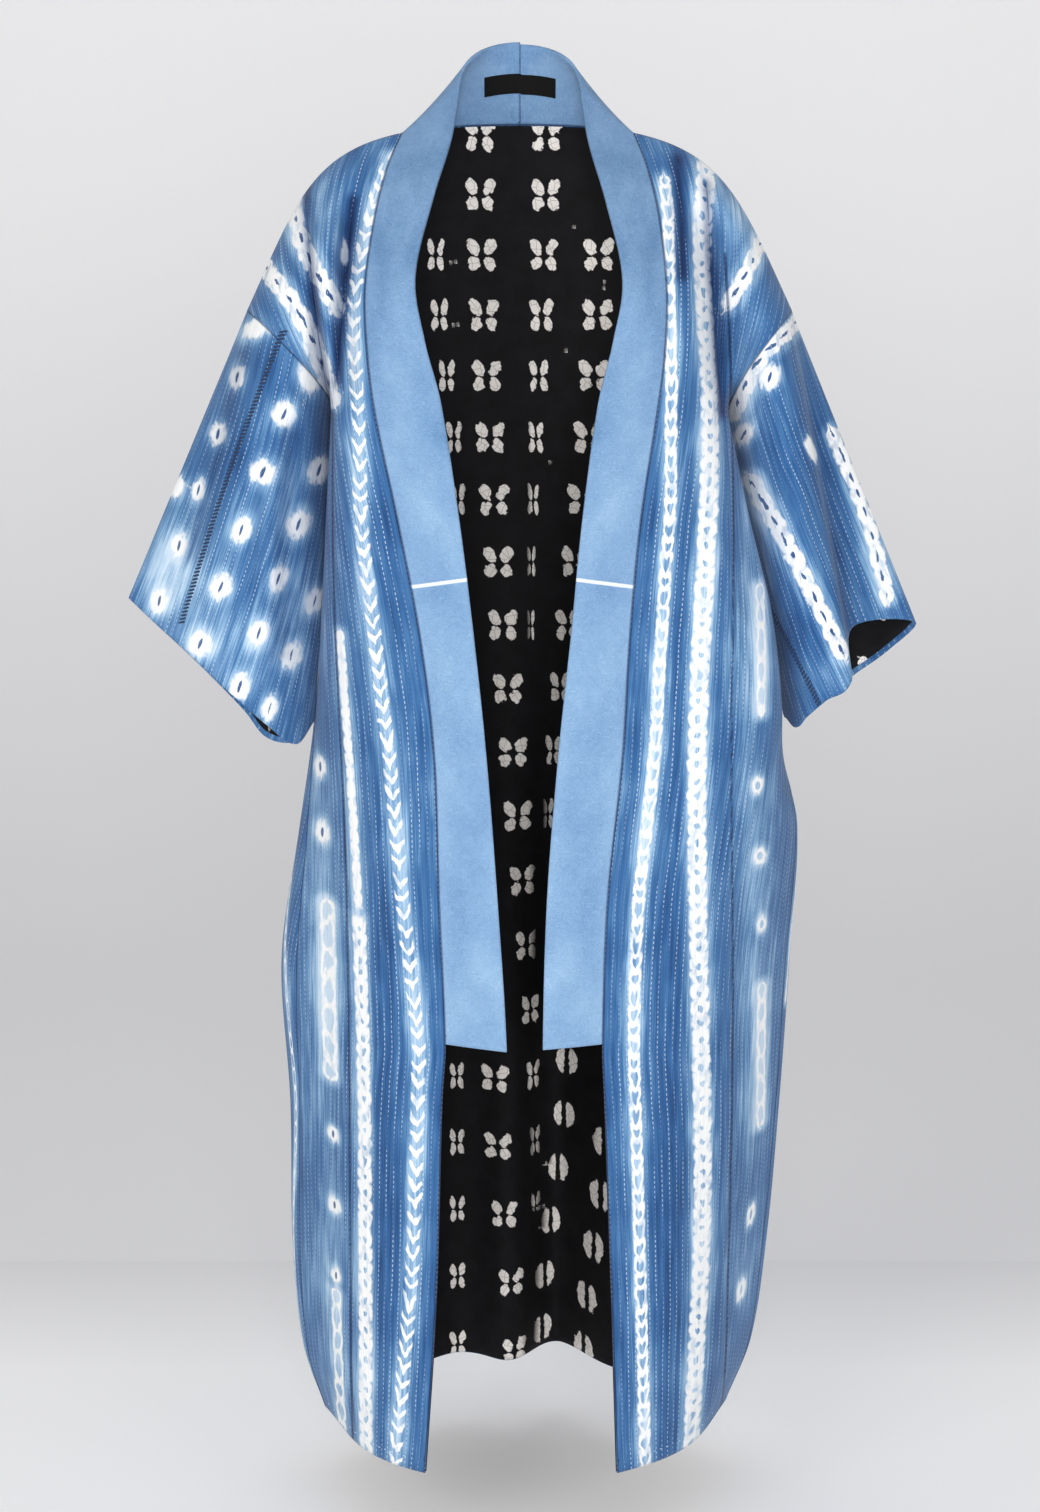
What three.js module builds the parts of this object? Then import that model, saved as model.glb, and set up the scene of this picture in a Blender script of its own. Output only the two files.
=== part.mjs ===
// Kimono robe in narrow-loom indigo cloth, filled out as worn: two fronts, a back, two wide
// sleeves, a standing neckband in two halves, a black lining under every panel, and a label.
// Millimetres, +Z up, front towards -Y. The origin is between the shoulders at the neck base,
// where the wearer carries the robe. Right and left are the wearer's: right is at -X.
import * as THREE from 'three';

// ---- Driving dimensions ----
const HEM_TO_NECK = 1210;      // neck points to hem; table heights are measured up from the hem
const BAND_END = 398;          // height of the neckband's lower ends
const UNDERARM = 958;          // height of the underarm points
const SHELL = 1.6;             // outer cloth with its seam allowances pressed in
const LINING = 1.1;            // lining cloth
const GAP = 0.3;               // clearance at every seam and between layers
const LABEL = { halfWidth: 33, height: 18, wall: 1.0, standoff: 0.5 };
const BAND_WALL = SHELL + GAP + LINING;   // folded band, as thick as shell and lining together
const LINING_SHORT = 5;        // the lining stops this far above the hem and inside the cuffs

// ---- Mesh steps ----
const HEM_ROWS = 5;            // hem to the neckband's lower end
const SKIRT_ROWS = 12;         // hem to underarm
const YOKE_ROWS = 10;          // underarm to shoulder line
const FRONT_COLUMNS = 9;       // front edge to side seam
const NECK_COLUMNS = 5;        // back neck, from the neck point to the centre back
const BACK_COLUMNS = FRONT_COLUMNS + NECK_COLUMNS;
const BAND_COLUMNS = 3;        // across the neckband
const SLEEVE_ROWS = 8;         // armhole to cuff, the last one at the lining's end
const SLEEVE_LENGTH = 300;

const COLOURS = {
  shell: { color: 0x4d7db4, roughness: 0.9 },
  lining: { color: 0x0e0d10, roughness: 0.85 },
  band: { color: 0x86b0dd, roughness: 0.9 },
  label: { color: 0x0a0a0c, roughness: 0.6 },
};

// ---- Small helpers ----
const v3 = (x, y, z) => new THREE.Vector3(x, y, z);
const radians = THREE.MathUtils.degToRad;
const mix = (a, b, t) => a + (b - a) * t;
const smooth = (low, high, x) => THREE.MathUtils.smoothstep(x, low, high);
const bump = (x) => Math.exp(-x * x);
const named = (columns, rows) => rows.map((row) => (
  Object.fromEntries(columns.split(' ').map((name, k) => [name, row[k]]))));

// A table's first column is its key. The others are read at any key on a smooth curve.
function table(columns, rows) {
  const names = columns.split(' ');
  const keys = rows.map((row) => row[0]);
  const slopeAt = (i, k) => {
    const low = Math.max(i - 1, 0);
    const high = Math.min(i + 1, rows.length - 1);
    return (rows[high][k] - rows[low][k]) / (keys[high] - keys[low]);
  };
  return (key) => {
    const x = THREE.MathUtils.clamp(key, keys[0], keys[keys.length - 1]);
    let i = 0;
    while (i < rows.length - 2 && x > keys[i + 1]) i += 1;
    const span = keys[i + 1] - keys[i];
    const t = (x - keys[i]) / span;
    const found = {};
    names.forEach((name, k) => {
      const [a, b] = [rows[i][k], rows[i + 1][k]];
      const [m, n] = [slopeAt(i, k) * span, slopeAt(i + 1, k) * span];
      const rise = b - a;
      found[name] = a + t * m + t * t * (3 * rise - 2 * m - n) + t * t * t * (m + n - 2 * rise);
    });
    return found;
  };
}

function bezier(p0, p1, p2, p3, t) {
  return new THREE.CubicBezierCurve3(p0, p1, p2, p3).getPoint(t);
}

// ---- Section tables, one row for each height above the hem ----
// EDGE: the neckband seam, which is the front's own edge below the band, and the band's free edge.
const EDGE_COLUMNS = 'height seamX seamY freeX freeY rise';
const RIGHT_EDGE = table(EDGE_COLUMNS, [
  [0, 87, -150, 30, -158, 0],
  [163, 76, -149, 24, -157, 0],
  [347, 70, -146, 14, -156, -4],
  [BAND_END, 67, -145, 12, -155, -5],
  [528, 72, -142, 20, -150, 0],
  [656, 76, -134, 30, -143, 2],
  [760, 88, -128, 41, -137, 4],
  [860, 107, -120, 54, -131, 8],
  [UNDERARM, 128, -107, 70, -119, 11],
  [1010, 135, -96, 84, -110, 11],
  [1066, 137.5, -80, 93, -100, 12],
  [1133, 129.5, -55, 77, -66, 18],
  [1179, 118.7, -30, 62, -28, 25],
  [1210, 107, -5, 55.5, 10, 38],
]);
const LEFT_EDGE = table(EDGE_COLUMNS, [
  [0, 89, -150, 36, -158, 0],
  [163, 83, -149, 31, -157, 0],
  [347, 76, -146, 22, -156, -2],
  [BAND_END, 74, -145, 20.5, -155, -3],
  [528, 78, -142, 24, -150, 0],
  [656, 91, -134, 34, -143, 2],
  [760, 97, -128, 45, -137, 3],
  [860, 106, -120, 55, -131, 5],
  [UNDERARM, 121, -107, 69, -118, 9],
  [1010, 128, -97, 82, -108, 10],
  [1066, 130, -82, 91, -99, 10],
  [1133, 124, -55, 76, -65, 16],
  [1179, 114, -28, 62, -28, 22],
  [1210, 103, -5, 55.5, 10, 36],
]);
// SIDE: the side seam, the turns of the cloth at the front edge and at the side seam in plan
// (0 is outwards, 90 straight back), how far the cloth swells before and behind the side seam,
// and the back's depth.
const SIDE_COLUMNS = 'height sideX sideY frontTurn sideTurn frontSwell backSwell backY';
const RIGHT_SIDE = table(SIDE_COLUMNS, [
  [0, 188, 17, 32, 68, 80, 66, 176],
  [60, 204, 8, 28, 62, 80, 84, 174],
  [160, 210, 2, 22, 58, 82, 94, 170],
  [300, 209, -3, 18, 55, 82, 95, 166],
  [440, 210, -8, 15, 52, 80, 120, 158],
  [570, 199, -7, 13, 60, 72, 95, 148],
  [690, 184, 2, 10, 80, 70, 80, 136],
  [785, 176, 6, 8, 88, 66, 75, 126],
  [880, 171, 8, 8, 92, 60, 72, 118],
  [UNDERARM, 171, 8, 8, 90, 54, 70, 112],
]);
const LEFT_SIDE = table(SIDE_COLUMNS, [
  [0, 200, 34, 32, 72, 95, 60, 176],
  [60, 222, 33, 28, 66, 98, 70, 174],
  [160, 234, 28, 22, 62, 98, 80, 170],
  [300, 245, 25, 18, 64, 100, 85, 166],
  [440, 252, 18, 15, 64, 98, 92, 158],
  [570, 260, 14, 13, 72, 98, 88, 148],
  [630, 249, 18, 12, 88, 104, 80, 142],
  [690, 226, 24, 10, 112, 115, 75, 136],
  [785, 206, 22, 8, 121, 105, 72, 126],
  [880, 196, 14, 8, 106, 72, 70, 118],
  [UNDERARM, 191, 8, 8, 92, 56, 70, 112],
]);

// CUFF: the sleeve's lower rim, one turn from the underarm seam round the front, over the top
// (0.5) and back. The left one has a fold: its front lobe hangs before a part that is set back.
const RIGHT_CUFF = table('turn reach depth height', [
  [0.00, 192, 6, 672],
  [0.06, 207, -20, 653],
  [0.15, 232, -42, 673],
  [0.25, 266, -52, 705],
  [0.35, 302, -44, 738],
  [0.43, 336, -22, 765],
  [0.50, 364, 4, 787],
  [0.57, 338, 28, 757],
  [0.65, 302, 40, 720],
  [0.75, 264, 43, 680],
  [0.85, 240, 40, 652],
  [0.94, 210, 26, 650],
  [1.00, 192, 6, 672],
]);
const LEFT_CUFF = table('turn reach depth height', [
  [0.00, 247, 16, 677],
  [0.06, 255, -15, 668],
  [0.15, 263, -38, 680],
  [0.28, 280, -52, 697],
  [0.40, 303, -54, 716],
  [0.45, 307, -20, 762],
  [0.50, 368, 4, 765],
  [0.55, 349, 34, 737],
  [0.63, 320, 48, 713],
  [0.75, 288, 54, 688],
  [0.87, 259, 52, 670],
  [0.95, 251, 38, 671],
  [1.00, 247, 16, 677],
]);

// Each side's neck point, and its armhole: a ring from the underarm up to the sleeve's top.
const RIGHT = {
  sign: -1, edge: RIGHT_EDGE, side: RIGHT_SIDE, cuff: RIGHT_CUFF,
  neck: v3(-107, -5, 1210), underarm: v3(-171, 8, UNDERARM), top: v3(-249, 0, 1052),
  armFront: 78, armBack: 80,
};
const LEFT = {
  sign: 1, edge: LEFT_EDGE, side: LEFT_SIDE, cuff: LEFT_CUFF,
  neck: v3(103, -5, 1210), underarm: v3(191, 8, UNDERARM), top: v3(248, 0, 1052),
  armFront: 78, armBack: 80,
};

// Hanging folds of the back: the centre line, its half-width, the depth at the hem (plus is
// outwards) and the height at which the fold has died away.
const BACK_FOLDS = named('x width depth top', [
  [-10, 24, -28, 1120],
  [38, 31, 40, 1080],
  [104, 34, -30, 900],
  [-66, 26, 12, 900],
  [-128, 30, -16, 820],
]);

// Creases and ridges that the drape draws across the panels: face -1 is the front and 1 the back.
// Each runs from a high point to a low one, with a half-width towards the centre and one outwards.
const CREASES = named('face fromX fromHeight toX toHeight inner outer depth', [
  [-1, -126, 1195, -160, 950, 15, 26, -34],    // right armpit, up to the neck
  [-1, -197, 1165, -180, 960, 34, 11, 13],     // right shoulder, hanging over the sleeve
  [-1, 158, 1200, 184, 955, 15, 28, -32],      // left armpit
  [-1, 134, 1215, 141, 1060, 9, 9, -7],        // beside the left neckband
  [-1, -206, 990, -200, 760, 22, 26, -13],     // inside of the right sleeve
  [-1, 212, 1050, 214, 740, 18, 24, -12],      // inside of the left sleeve
  [1, -138, 1190, -172, 960, 20, 28, -16],
  [1, 142, 1190, 184, 960, 20, 28, -16],
  [1, -262, 1000, -288, 720, 24, 24, -9],
  [1, 266, 1000, 292, 720, 24, 24, -9],
]);

// ---- Curves between the tables ----
const EDGE_REACH = 0.42;       // handle of a front's plan curve at its edge, as a share of its chord
const CENTRE_REACH = 0.55;     // handle of the back's plan curve at the centre, as a share of sideX
const BACK_FOLD_FROM = -0.15;  // a back fold fades from this share of its top height
const BACK_FOLD_SIDE = 0.3;    // and over this share of the width beside the side seam
const CREASE_ENDS = { start: 0.3, finish: 0.75 };   // shares of a crease's length
const CREASE_DEPTHS = { none: 25, full: 75 };       // how far from the middle a crease takes hold
const CLEAR_OF_BAND = 30;      // creases fade out over this width beside the neckband
const SHOULDER = { reach: 85, direction: v3(0.98, 0, -0.2) };
const UPPER_ARM = { reach: 105, direction: v3(0.42, 0, -0.91) };
const YOKE_RISE = 0.5;         // a column leaves the underarm row straight up for this share of its rise
const CHEST = { roll: 0.5, drop: 0.08 };            // how it rolls over on to the shoulder line
const BLADE = { roll: 0.62, drop: 0.1 };
const RING = { point: 2.2, outwards: 1.1, upwards: 0.7 };   // exponents; the ring is pointed below
const RING_PULL = { low: 1.2, high: 2, until: 0.5 };        // exponents, and where the change ends
const HEM_CROWDING = 1.5;      // exponent that brings the lowest rows closer to the hem
const NECK_BACK = 87;          // depth from the neck points to the centre-back seam
const NECK_RISE = 15;          // how far the centre-back seam stands above the neck points
const COLLAR = { depth: 66, rise: 52, roundness: 0.7 };     // the band's free edge behind the neck
const BAND_BULGE = { front: -2, back: 3 };

// ---- Body surface ----
// Plan curve of a front at one height, from its edge (across 0) to the side seam (across 1).
function frontRow(part, height, across) {
  const edge = part.edge(height);
  const side = part.side(height);
  const start = v3(part.sign * edge.seamX, edge.seamY, height);
  const end = v3(part.sign * side.sideX, side.sideY, height);
  const [a, b] = [radians(side.frontTurn), radians(side.sideTurn)];
  const reach = EDGE_REACH * start.distanceTo(end);
  const leave = v3(part.sign * Math.cos(a), Math.sin(a), 0).multiplyScalar(reach);
  const arrive = v3(part.sign * Math.cos(b), Math.sin(b), 0).multiplyScalar(side.frontSwell);
  return bezier(start, start.clone().add(leave), end.clone().sub(arrive), end, across);
}

// Plan curve of half the back at one height, from the side seam (across 0) to the centre back.
function backRow(part, height, across) {
  const side = part.side(height);
  const start = v3(part.sign * side.sideX, side.sideY, height);
  const centre = v3(0, side.backY, height);
  const turn = radians(side.sideTurn);
  const leave = v3(part.sign * Math.cos(turn), Math.sin(turn), 0).multiplyScalar(side.backSwell);
  const arrive = v3(part.sign * side.sideX * CENTRE_REACH, 0, 0);
  const point = bezier(start, start.clone().add(leave), centre.clone().add(arrive), centre, across);
  point.y += backFold(point.x, height) * smooth(0, BACK_FOLD_SIDE, across);
  return point;
}

function backFold(x, height) {
  let depth = 0;
  for (const fold of BACK_FOLDS) {
    const fade = 1 - smooth(BACK_FOLD_FROM * fold.top, fold.top, height);
    depth += fold.depth * bump((x - fold.x) / fold.width) * fade;
  }
  return depth;
}

// Moves a point of any panel out or in with the creases that pass it, but never a neckline.
function drape(point, part) {
  const offNeckband = smooth(0, CLEAR_OF_BAND, Math.abs(point.x) - part.edge(point.z).seamX);
  let moved = 0;
  for (const crease of CREASES) {
    const along = (crease.fromHeight - point.z) / (crease.fromHeight - crease.toHeight);
    const offset = (point.x - mix(crease.fromX, crease.toX, along)) * Math.sign(crease.toX);
    const width = offset < 0 ? crease.inner : crease.outer;
    const ends = smooth(0, CREASE_ENDS.start, along) * (1 - smooth(CREASE_ENDS.finish, 1, along));
    const facing = smooth(CREASE_DEPTHS.none, CREASE_DEPTHS.full, crease.face * point.y);
    moved += crease.face * crease.depth * bump(offset / width) * ends * facing;
  }
  return point.add(v3(0, moved * (point.z > BAND_END ? offNeckband : 1), 0));
}

function shoulderLine(part, t) {
  const outwards = v3(part.sign, 1, 1);
  const leave = SHOULDER.direction.clone().multiply(outwards).multiplyScalar(SHOULDER.reach);
  const arrive = UPPER_ARM.direction.clone().multiply(outwards).multiplyScalar(UPPER_ARM.reach);
  return bezier(part.neck, part.neck.clone().add(leave), part.top.clone().sub(arrive), part.top, t);
}

// Half of the armhole ring, from the underarm (0) to the top of the sleeve (1). It climbs the
// body's side before it turns out over the arm.
function armhole(part, t, forwards) {
  const climb = (1 - Math.cos(Math.PI * t)) / 2;
  const depth = forwards ? -part.armFront : part.armBack;
  const bulge = Math.abs(Math.sin(Math.PI * t)) ** mix(RING.point, 1, t);
  const { underarm, top } = part;
  return v3(mix(underarm.x, top.x, climb ** RING.outwards),
    mix(underarm.y, top.y, climb) + depth * bulge, mix(underarm.z, top.z, climb ** RING.upwards));
}

function backNeck(part, t) {
  const angle = (t * Math.PI) / 2;
  return v3(part.neck.x * Math.cos(angle), part.neck.y + NECK_BACK * Math.sin(angle),
    part.neck.z + NECK_RISE * Math.sin(angle));
}

// The share of an armhole's offset that a point takes, from its nearness to the armhole (1 is on
// it). Low down the offset forwards or back is spread wider, so that the columns stay apart.
function pullToArmhole(offset, nearness, up) {
  const spread = mix(RING_PULL.low, RING_PULL.high, smooth(0, RING_PULL.until, up));
  return offset.multiply(v3(nearness ** 2, nearness ** spread, nearness ** 2));
}

// The front above the underarm: each column rises straight, rolls over the chest and ends on the
// shoulder line. The outer columns are drawn to the armhole and the inner ones to the neckline.
function frontYoke(part, across, up) {
  const column = (c) => {
    const low = frontRow(part, UNDERARM, c);
    const high = shoulderLine(part, c);
    const rise = high.z - low.z;
    return bezier(low, low.clone().add(v3(0, 0, YOKE_RISE * rise)),
      high.clone().add(v3(0, CHEST.roll * low.y, -CHEST.drop * rise)), high, up);
  };
  const seamHeight = mix(UNDERARM, part.neck.z, up);
  const edge = part.edge(seamHeight);
  const seam = v3(part.sign * edge.seamX, edge.seamY, seamHeight);
  const point = column(across);
  point.addScaledVector(seam.sub(column(0)), (1 - across) ** 2);
  return point.add(pullToArmhole(armhole(part, up, true).sub(column(1)), across, up));
}

// The back above the underarm, from the armhole (across 0) over the shoulder blade to the centre.
function backYoke(part, across, up) {
  const neckShare = NECK_COLUMNS / BACK_COLUMNS;
  const column = (c) => {
    const low = backRow(part, UNDERARM, c);
    const onShoulder = c <= 1 - neckShare;
    const high = onShoulder ? shoulderLine(part, 1 - c / (1 - neckShare))
      : backNeck(part, (c - 1 + neckShare) / neckShare);
    const rise = high.z - low.z;
    const roll = BLADE.roll * (low.y - high.y);
    return bezier(low, low.clone().add(v3(0, 0, YOKE_RISE * rise)),
      high.clone().add(v3(0, roll, -BLADE.drop * rise)), high, up);
  };
  const point = column(across);
  return point.add(pullToArmhole(armhole(part, up, false).sub(column(0)), 1 - across, up));
}

// The first row above the hem is where the lining starts.
function skirtHeight(row) {
  if (row === 0) return 0;
  if (row < HEM_ROWS) return mix(LINING_SHORT, BAND_END, ((row - 1) / (HEM_ROWS - 1)) ** HEM_CROWDING);
  return mix(BAND_END, UNDERARM, (row - HEM_ROWS) / (SKIRT_ROWS - HEM_ROWS));
}

// A sheet is a grid of points: rows run along the cloth, columns across it. A wrapped sheet is a
// tube, and a flipped one is seen from outside with its columns running from right to left.
function sheet(rows, columns, pointAt, { wraps = false, flipped = false } = {}) {
  const width = columns + (wraps ? 0 : 1);
  const points = [];
  for (let r = 0; r <= rows; r += 1) {
    for (let c = 0; c < width; c += 1) points.push(pointAt(r, c));
  }
  return { rows, columns, wraps, flipped, width, points };
}

function bodyPoint(part, row, across, skirt, yoke) {
  return drape(row <= SKIRT_ROWS ? skirt(part, skirtHeight(row), across)
    : yoke(part, across, (row - SKIRT_ROWS) / YOKE_ROWS), part);
}

function frontSheet(part) {
  return sheet(SKIRT_ROWS + YOKE_ROWS, FRONT_COLUMNS,
    (r, c) => bodyPoint(part, r, c / FRONT_COLUMNS, frontRow, frontYoke), { flipped: part === RIGHT });
}

function backSheet() {
  return sheet(SKIRT_ROWS + YOKE_ROWS, 2 * BACK_COLUMNS, (r, c) => {
    const part = c < BACK_COLUMNS ? RIGHT : LEFT;
    const across = c < BACK_COLUMNS ? c / BACK_COLUMNS : 2 - c / BACK_COLUMNS;
    return bodyPoint(part, r, across, backRow, backYoke);
  }, { flipped: true });
}

// A sleeve is a tube from the armhole ring to the cuff. Its loop starts at the underarm seam and
// goes round the front, over the top and back.
function sleeveSheet(part) {
  return sheet(SLEEVE_ROWS, 2 * YOKE_ROWS, (r, c) => {
    const along = r < SLEEVE_ROWS ? (1 - LINING_SHORT / SLEEVE_LENGTH) * r / (SLEEVE_ROWS - 1) : 1;
    const forwards = c <= YOKE_ROWS;
    const t = forwards ? c / YOKE_ROWS : 2 - c / YOKE_ROWS;
    const ring = armhole(part, t, forwards);
    const rim = part.cuff(c / (2 * YOKE_ROWS));
    return drape(ring.lerp(v3(part.sign * rim.reach, rim.depth, rim.height), along), part);
  }, { wraps: true, flipped: part === LEFT });
}

// The neckband: rows follow the seam from the band's lower end to the centre back, columns go
// from the seam to the free edge.
const BAND_FRONT_ROWS = SKIRT_ROWS - HEM_ROWS + YOKE_ROWS;

function bandPoint(part, row, across) {
  let seam;
  let free;
  if (row <= BAND_FRONT_ROWS) {
    const skirtPart = SKIRT_ROWS - HEM_ROWS;
    const height = row <= skirtPart ? skirtHeight(HEM_ROWS + row)
      : mix(UNDERARM, part.neck.z, (row - skirtPart) / YOKE_ROWS);
    const edge = part.edge(height);
    seam = v3(part.sign * edge.seamX, edge.seamY, height);
    free = v3(part.sign * edge.freeX, edge.freeY, height + edge.rise);
  } else {
    const t = (row - BAND_FRONT_ROWS) / NECK_COLUMNS;
    const angle = (t * Math.PI) / 2;
    const start = part.edge(part.neck.z);
    seam = backNeck(part, t);
    free = v3(part.sign * start.freeX * Math.cos(angle), start.freeY + COLLAR.depth * Math.sin(angle),
      part.neck.z + start.rise + COLLAR.rise * Math.sin(angle) ** COLLAR.roundness);
  }
  const bulge = row > BAND_FRONT_ROWS ? BAND_BULGE.back : BAND_BULGE.front;
  const middle = seam.clone().lerp(free, 0.5).add(v3(0, bulge, 0));
  return new THREE.QuadraticBezierCurve3(seam, middle, free).getPoint(across);
}

function bandSheet(part) {
  return sheet(BAND_FRONT_ROWS + NECK_COLUMNS, BAND_COLUMNS,
    (r, c) => bandPoint(part, r, c / BAND_COLUMNS), { flipped: part === LEFT });
}

const sheets = {
  front_right: frontSheet(RIGHT), front_left: frontSheet(LEFT), back: backSheet(),
  sleeve_right: sleeveSheet(RIGHT), sleeve_left: sleeveSheet(LEFT),
  neckband_right: bandSheet(RIGHT), neckband_left: bandSheet(LEFT),
};

function quads(grid) {
  const list = [];
  for (let r = 0; r < grid.rows; r += 1) {
    for (let c = 0; c < grid.columns; c += 1) {
      const next = grid.wraps ? (c + 1) % grid.columns : c + 1;
      const base = r * grid.width;
      list.push([base + c, base + next, base + grid.width + next, base + grid.width + c]);
    }
  }
  return list;
}

// ---- Shared normals, so that neighbouring walls stand parallel at their seams ----
const VALLEY_LIMIT = 0.8;      // cosine between the two normals
const keyOf = (p) => [p.x, p.y, p.z].map((n) => Math.round(n * 20)).join(',');

function addNormals(grid, sums) {
  for (const corners of quads(grid)) {
    const p = corners.map((i) => grid.points[i]);
    const normal = p[2].clone().sub(p[0]).cross(p[3].clone().sub(p[1]));
    if (grid.flipped) normal.negate();
    for (const corner of p) {
      const key = keyOf(corner);
      if (!sums.has(key)) sums.set(key, v3(0, 0, 0));
      sums.get(key).add(normal);
    }
  }
}

// Panels that run on smoothly share their normals at a seam. The body, the sleeves and the
// neckband also share them with each other, except in a sharp valley such as the underarm.
function shareNormals() {
  const groupOf = (name) => name.split('_')[0].replace('front', 'body').replace('back', 'body');
  const [all, groups] = [new Map(), {}];
  for (const [name, grid] of Object.entries(sheets)) {
    groups[groupOf(name)] ??= new Map();
    addNormals(grid, all);
    addNormals(grid, groups[groupOf(name)]);
  }
  const normalAt = (normals, p) => normals.get(keyOf(p)).clone().normalize();
  for (const [name, grid] of Object.entries(sheets)) {
    grid.normals = grid.points.map((p) => {
      const together = normalAt(all, p);
      const meeting = Object.values(groups).filter((group) => group.has(keyOf(p)));
      const gentle = meeting.every((group) => together.dot(normalAt(group, p)) > VALLEY_LIMIT);
      const normal = gentle ? together : normalAt(groups[groupOf(name)], p);
      if (Math.abs(p.x) < 0.001) normal.setX(0).normalize();
      return normal;
    });
  }
}
shareNormals();

// ---- Walls ----
// The same sheet without its first or last row, for a lining that stops short of a hem.
function shortened(grid, end) {
  const [from, to] = end === 'first' ? [grid.width, grid.points.length] : [0, -grid.width];
  const [points, normals] = [grid.points, grid.normals].map((list) => list.slice(from, to));
  return { ...grid, rows: grid.rows - 1, points, normals };
}

// A sheet's edges are drawn in by half a seam gap. A point slides along its own row or column
// until it lies that far from the edge line.
function drawnIn(grid) {
  const { rows, columns, wraps, width, points } = grid;
  const column = (c) => (wraps ? (c + columns) % columns : THREE.MathUtils.clamp(c, 0, columns));
  const at = (r, c) => THREE.MathUtils.clamp(r, 0, rows) * width + column(c);
  return points.map((start, i) => {
    const r = Math.floor(i / width);
    const c = i % width;
    const point = start.clone();
    const normal = grid.normals[i].clone();
    const draw = (inner, edgeFrom, edgeTo) => {
      const step = points[inner].clone().sub(start);
      const edge = points[edgeTo].clone().sub(points[edgeFrom]).normalize();
      const share = GAP / 2 / Math.max(step.clone().cross(edge).length(), 0.3 * step.length());
      point.addScaledVector(step, share);
      normal.lerp(grid.normals[inner], share);
    };
    if (r === 0) draw(at(1, c), at(0, c - 1), at(0, c + 1));
    if (r === rows) draw(at(r - 1, c), at(r, c - 1), at(r, c + 1));
    if (!wraps && c === 0) draw(at(r, 1), at(r - 1, 0), at(r + 1, 0));
    if (!wraps && c === columns) draw(at(r, c - 1), at(r - 1, c), at(r + 1, c));
    return { point, normal };
  });
}

// A sheet becomes a closed wall between two depths under its skin.
function wall(name, grid, from, to, colour) {
  const skin = drawnIn(grid);
  const count = skin.length;
  const position = [];
  for (const depth of [from, to]) {
    for (const { point, normal } of skin) {
      const q = point.clone().addScaledVector(normal, -depth);
      position.push(q.x, q.y, q.z - HEM_TO_NECK);
    }
  }
  const index = [];
  const face = (a, b, c, d) => index.push(a, b, c, a, c, d);
  for (const [a, b, c, d] of quads(grid)) {
    face(a, b, c, d);
    face(a + count, d + count, c + count, b + count);
  }
  // Both walls of a seam split their rims alike: from the lower outer point to the upper inner one.
  const rim = (a, b) => {
    if (grid.points[b].z < grid.points[a].z) face(b, a, a + count, b + count);
    else face(a, a + count, b + count, b);
  };
  for (let c = 0; c < grid.columns; c += 1) {
    const next = grid.wraps ? (c + 1) % grid.columns : c + 1;
    const last = grid.rows * grid.width;
    rim(c, next);
    rim(last + next, last + c);
  }
  for (let r = 0; r < grid.rows && !grid.wraps; r += 1) {
    const base = r * grid.width;
    rim(base + grid.width, base);
    rim(base + grid.columns, base + grid.width + grid.columns);
  }
  if (grid.flipped) index.reverse();
  const geometry = new THREE.BufferGeometry();
  geometry.setAttribute('position', new THREE.Float32BufferAttribute(position, 3));
  geometry.setIndex(index);
  geometry.computeVertexNormals();
  const material = new THREE.MeshStandardMaterial({ ...COLOURS[colour], metalness: 0 });
  const mesh = new THREE.Mesh(geometry, material);
  mesh.name = name;
  return mesh;
}

// The label lies on the inside of the neckband at the centre back, over both halves. Its points
// are taken from the band's own facets, in the middle column, out to a part of the second row.
function labelSheet() {
  const last = BAND_FRONT_ROWS + NECK_COLUMNS;
  const column = Math.floor(BAND_COLUMNS / 2);
  const bandAt = (band, row, t) => {
    const low = row * band.width + column;
    const between = (list) => list[low].clone().lerp(list[low + 1], t);
    return { point: between(band.points), normal: between(band.normals) };
  };
  const left = sheets.neckband_left;
  const share = LABEL.height / bandAt(left, last, 0).point.distanceTo(bandAt(left, last, 1).point);
  const normals = [];
  const grid = sheet(4, 1, (r, c) => {
    const band = r < 2 ? sheets.neckband_right : left;
    const t = 0.5 + (c - 0.5) * share;
    const steps = Math.abs(r - 2);
    const { point, normal } = bandAt(band, last - Math.min(steps, 1), t);
    if (steps === 2) {
      const far = bandAt(band, last - 2, t);
      const reach = (LABEL.halfWidth - Math.abs(point.x)) / (Math.abs(far.point.x) - Math.abs(point.x));
      point.lerp(far.point, reach);
      normal.lerp(far.normal, reach);
    }
    normals.push(normal.normalize());
    return point;
  });
  return { ...grid, normals };
}

// ---- The robe ----
const kimono = new THREE.Group();
for (const name of ['front_right', 'front_left', 'back', 'sleeve_right', 'sleeve_left']) {
  const hemmed = shortened(sheets[name], name.startsWith('sleeve') ? 'last' : 'first');
  kimono.add(wall(name, sheets[name], 0, SHELL, 'shell'));
  kimono.add(wall(`lining_${name}`, hemmed, SHELL + GAP, SHELL + GAP + LINING, 'lining'));
}
for (const name of ['neckband_right', 'neckband_left']) {
  kimono.add(wall(name, sheets[name], 0, BAND_WALL, 'band'));
}
const labelDepth = BAND_WALL + LABEL.standoff;
kimono.add(wall('label', labelSheet(), labelDepth, labelDepth + LABEL.wall, 'label'));

export default kimono;
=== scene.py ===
"""Kimono robe in narrow-loom indigo cloth: its dressed surfaces, stitches, studio and camera.

Every cloth piece is a surface of two parameters worked out with numpy in millimetres above the hem,
then shifted so that the neck points lie at the origin's height and written to a mesh in metres.
"""
import functools
import math

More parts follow.
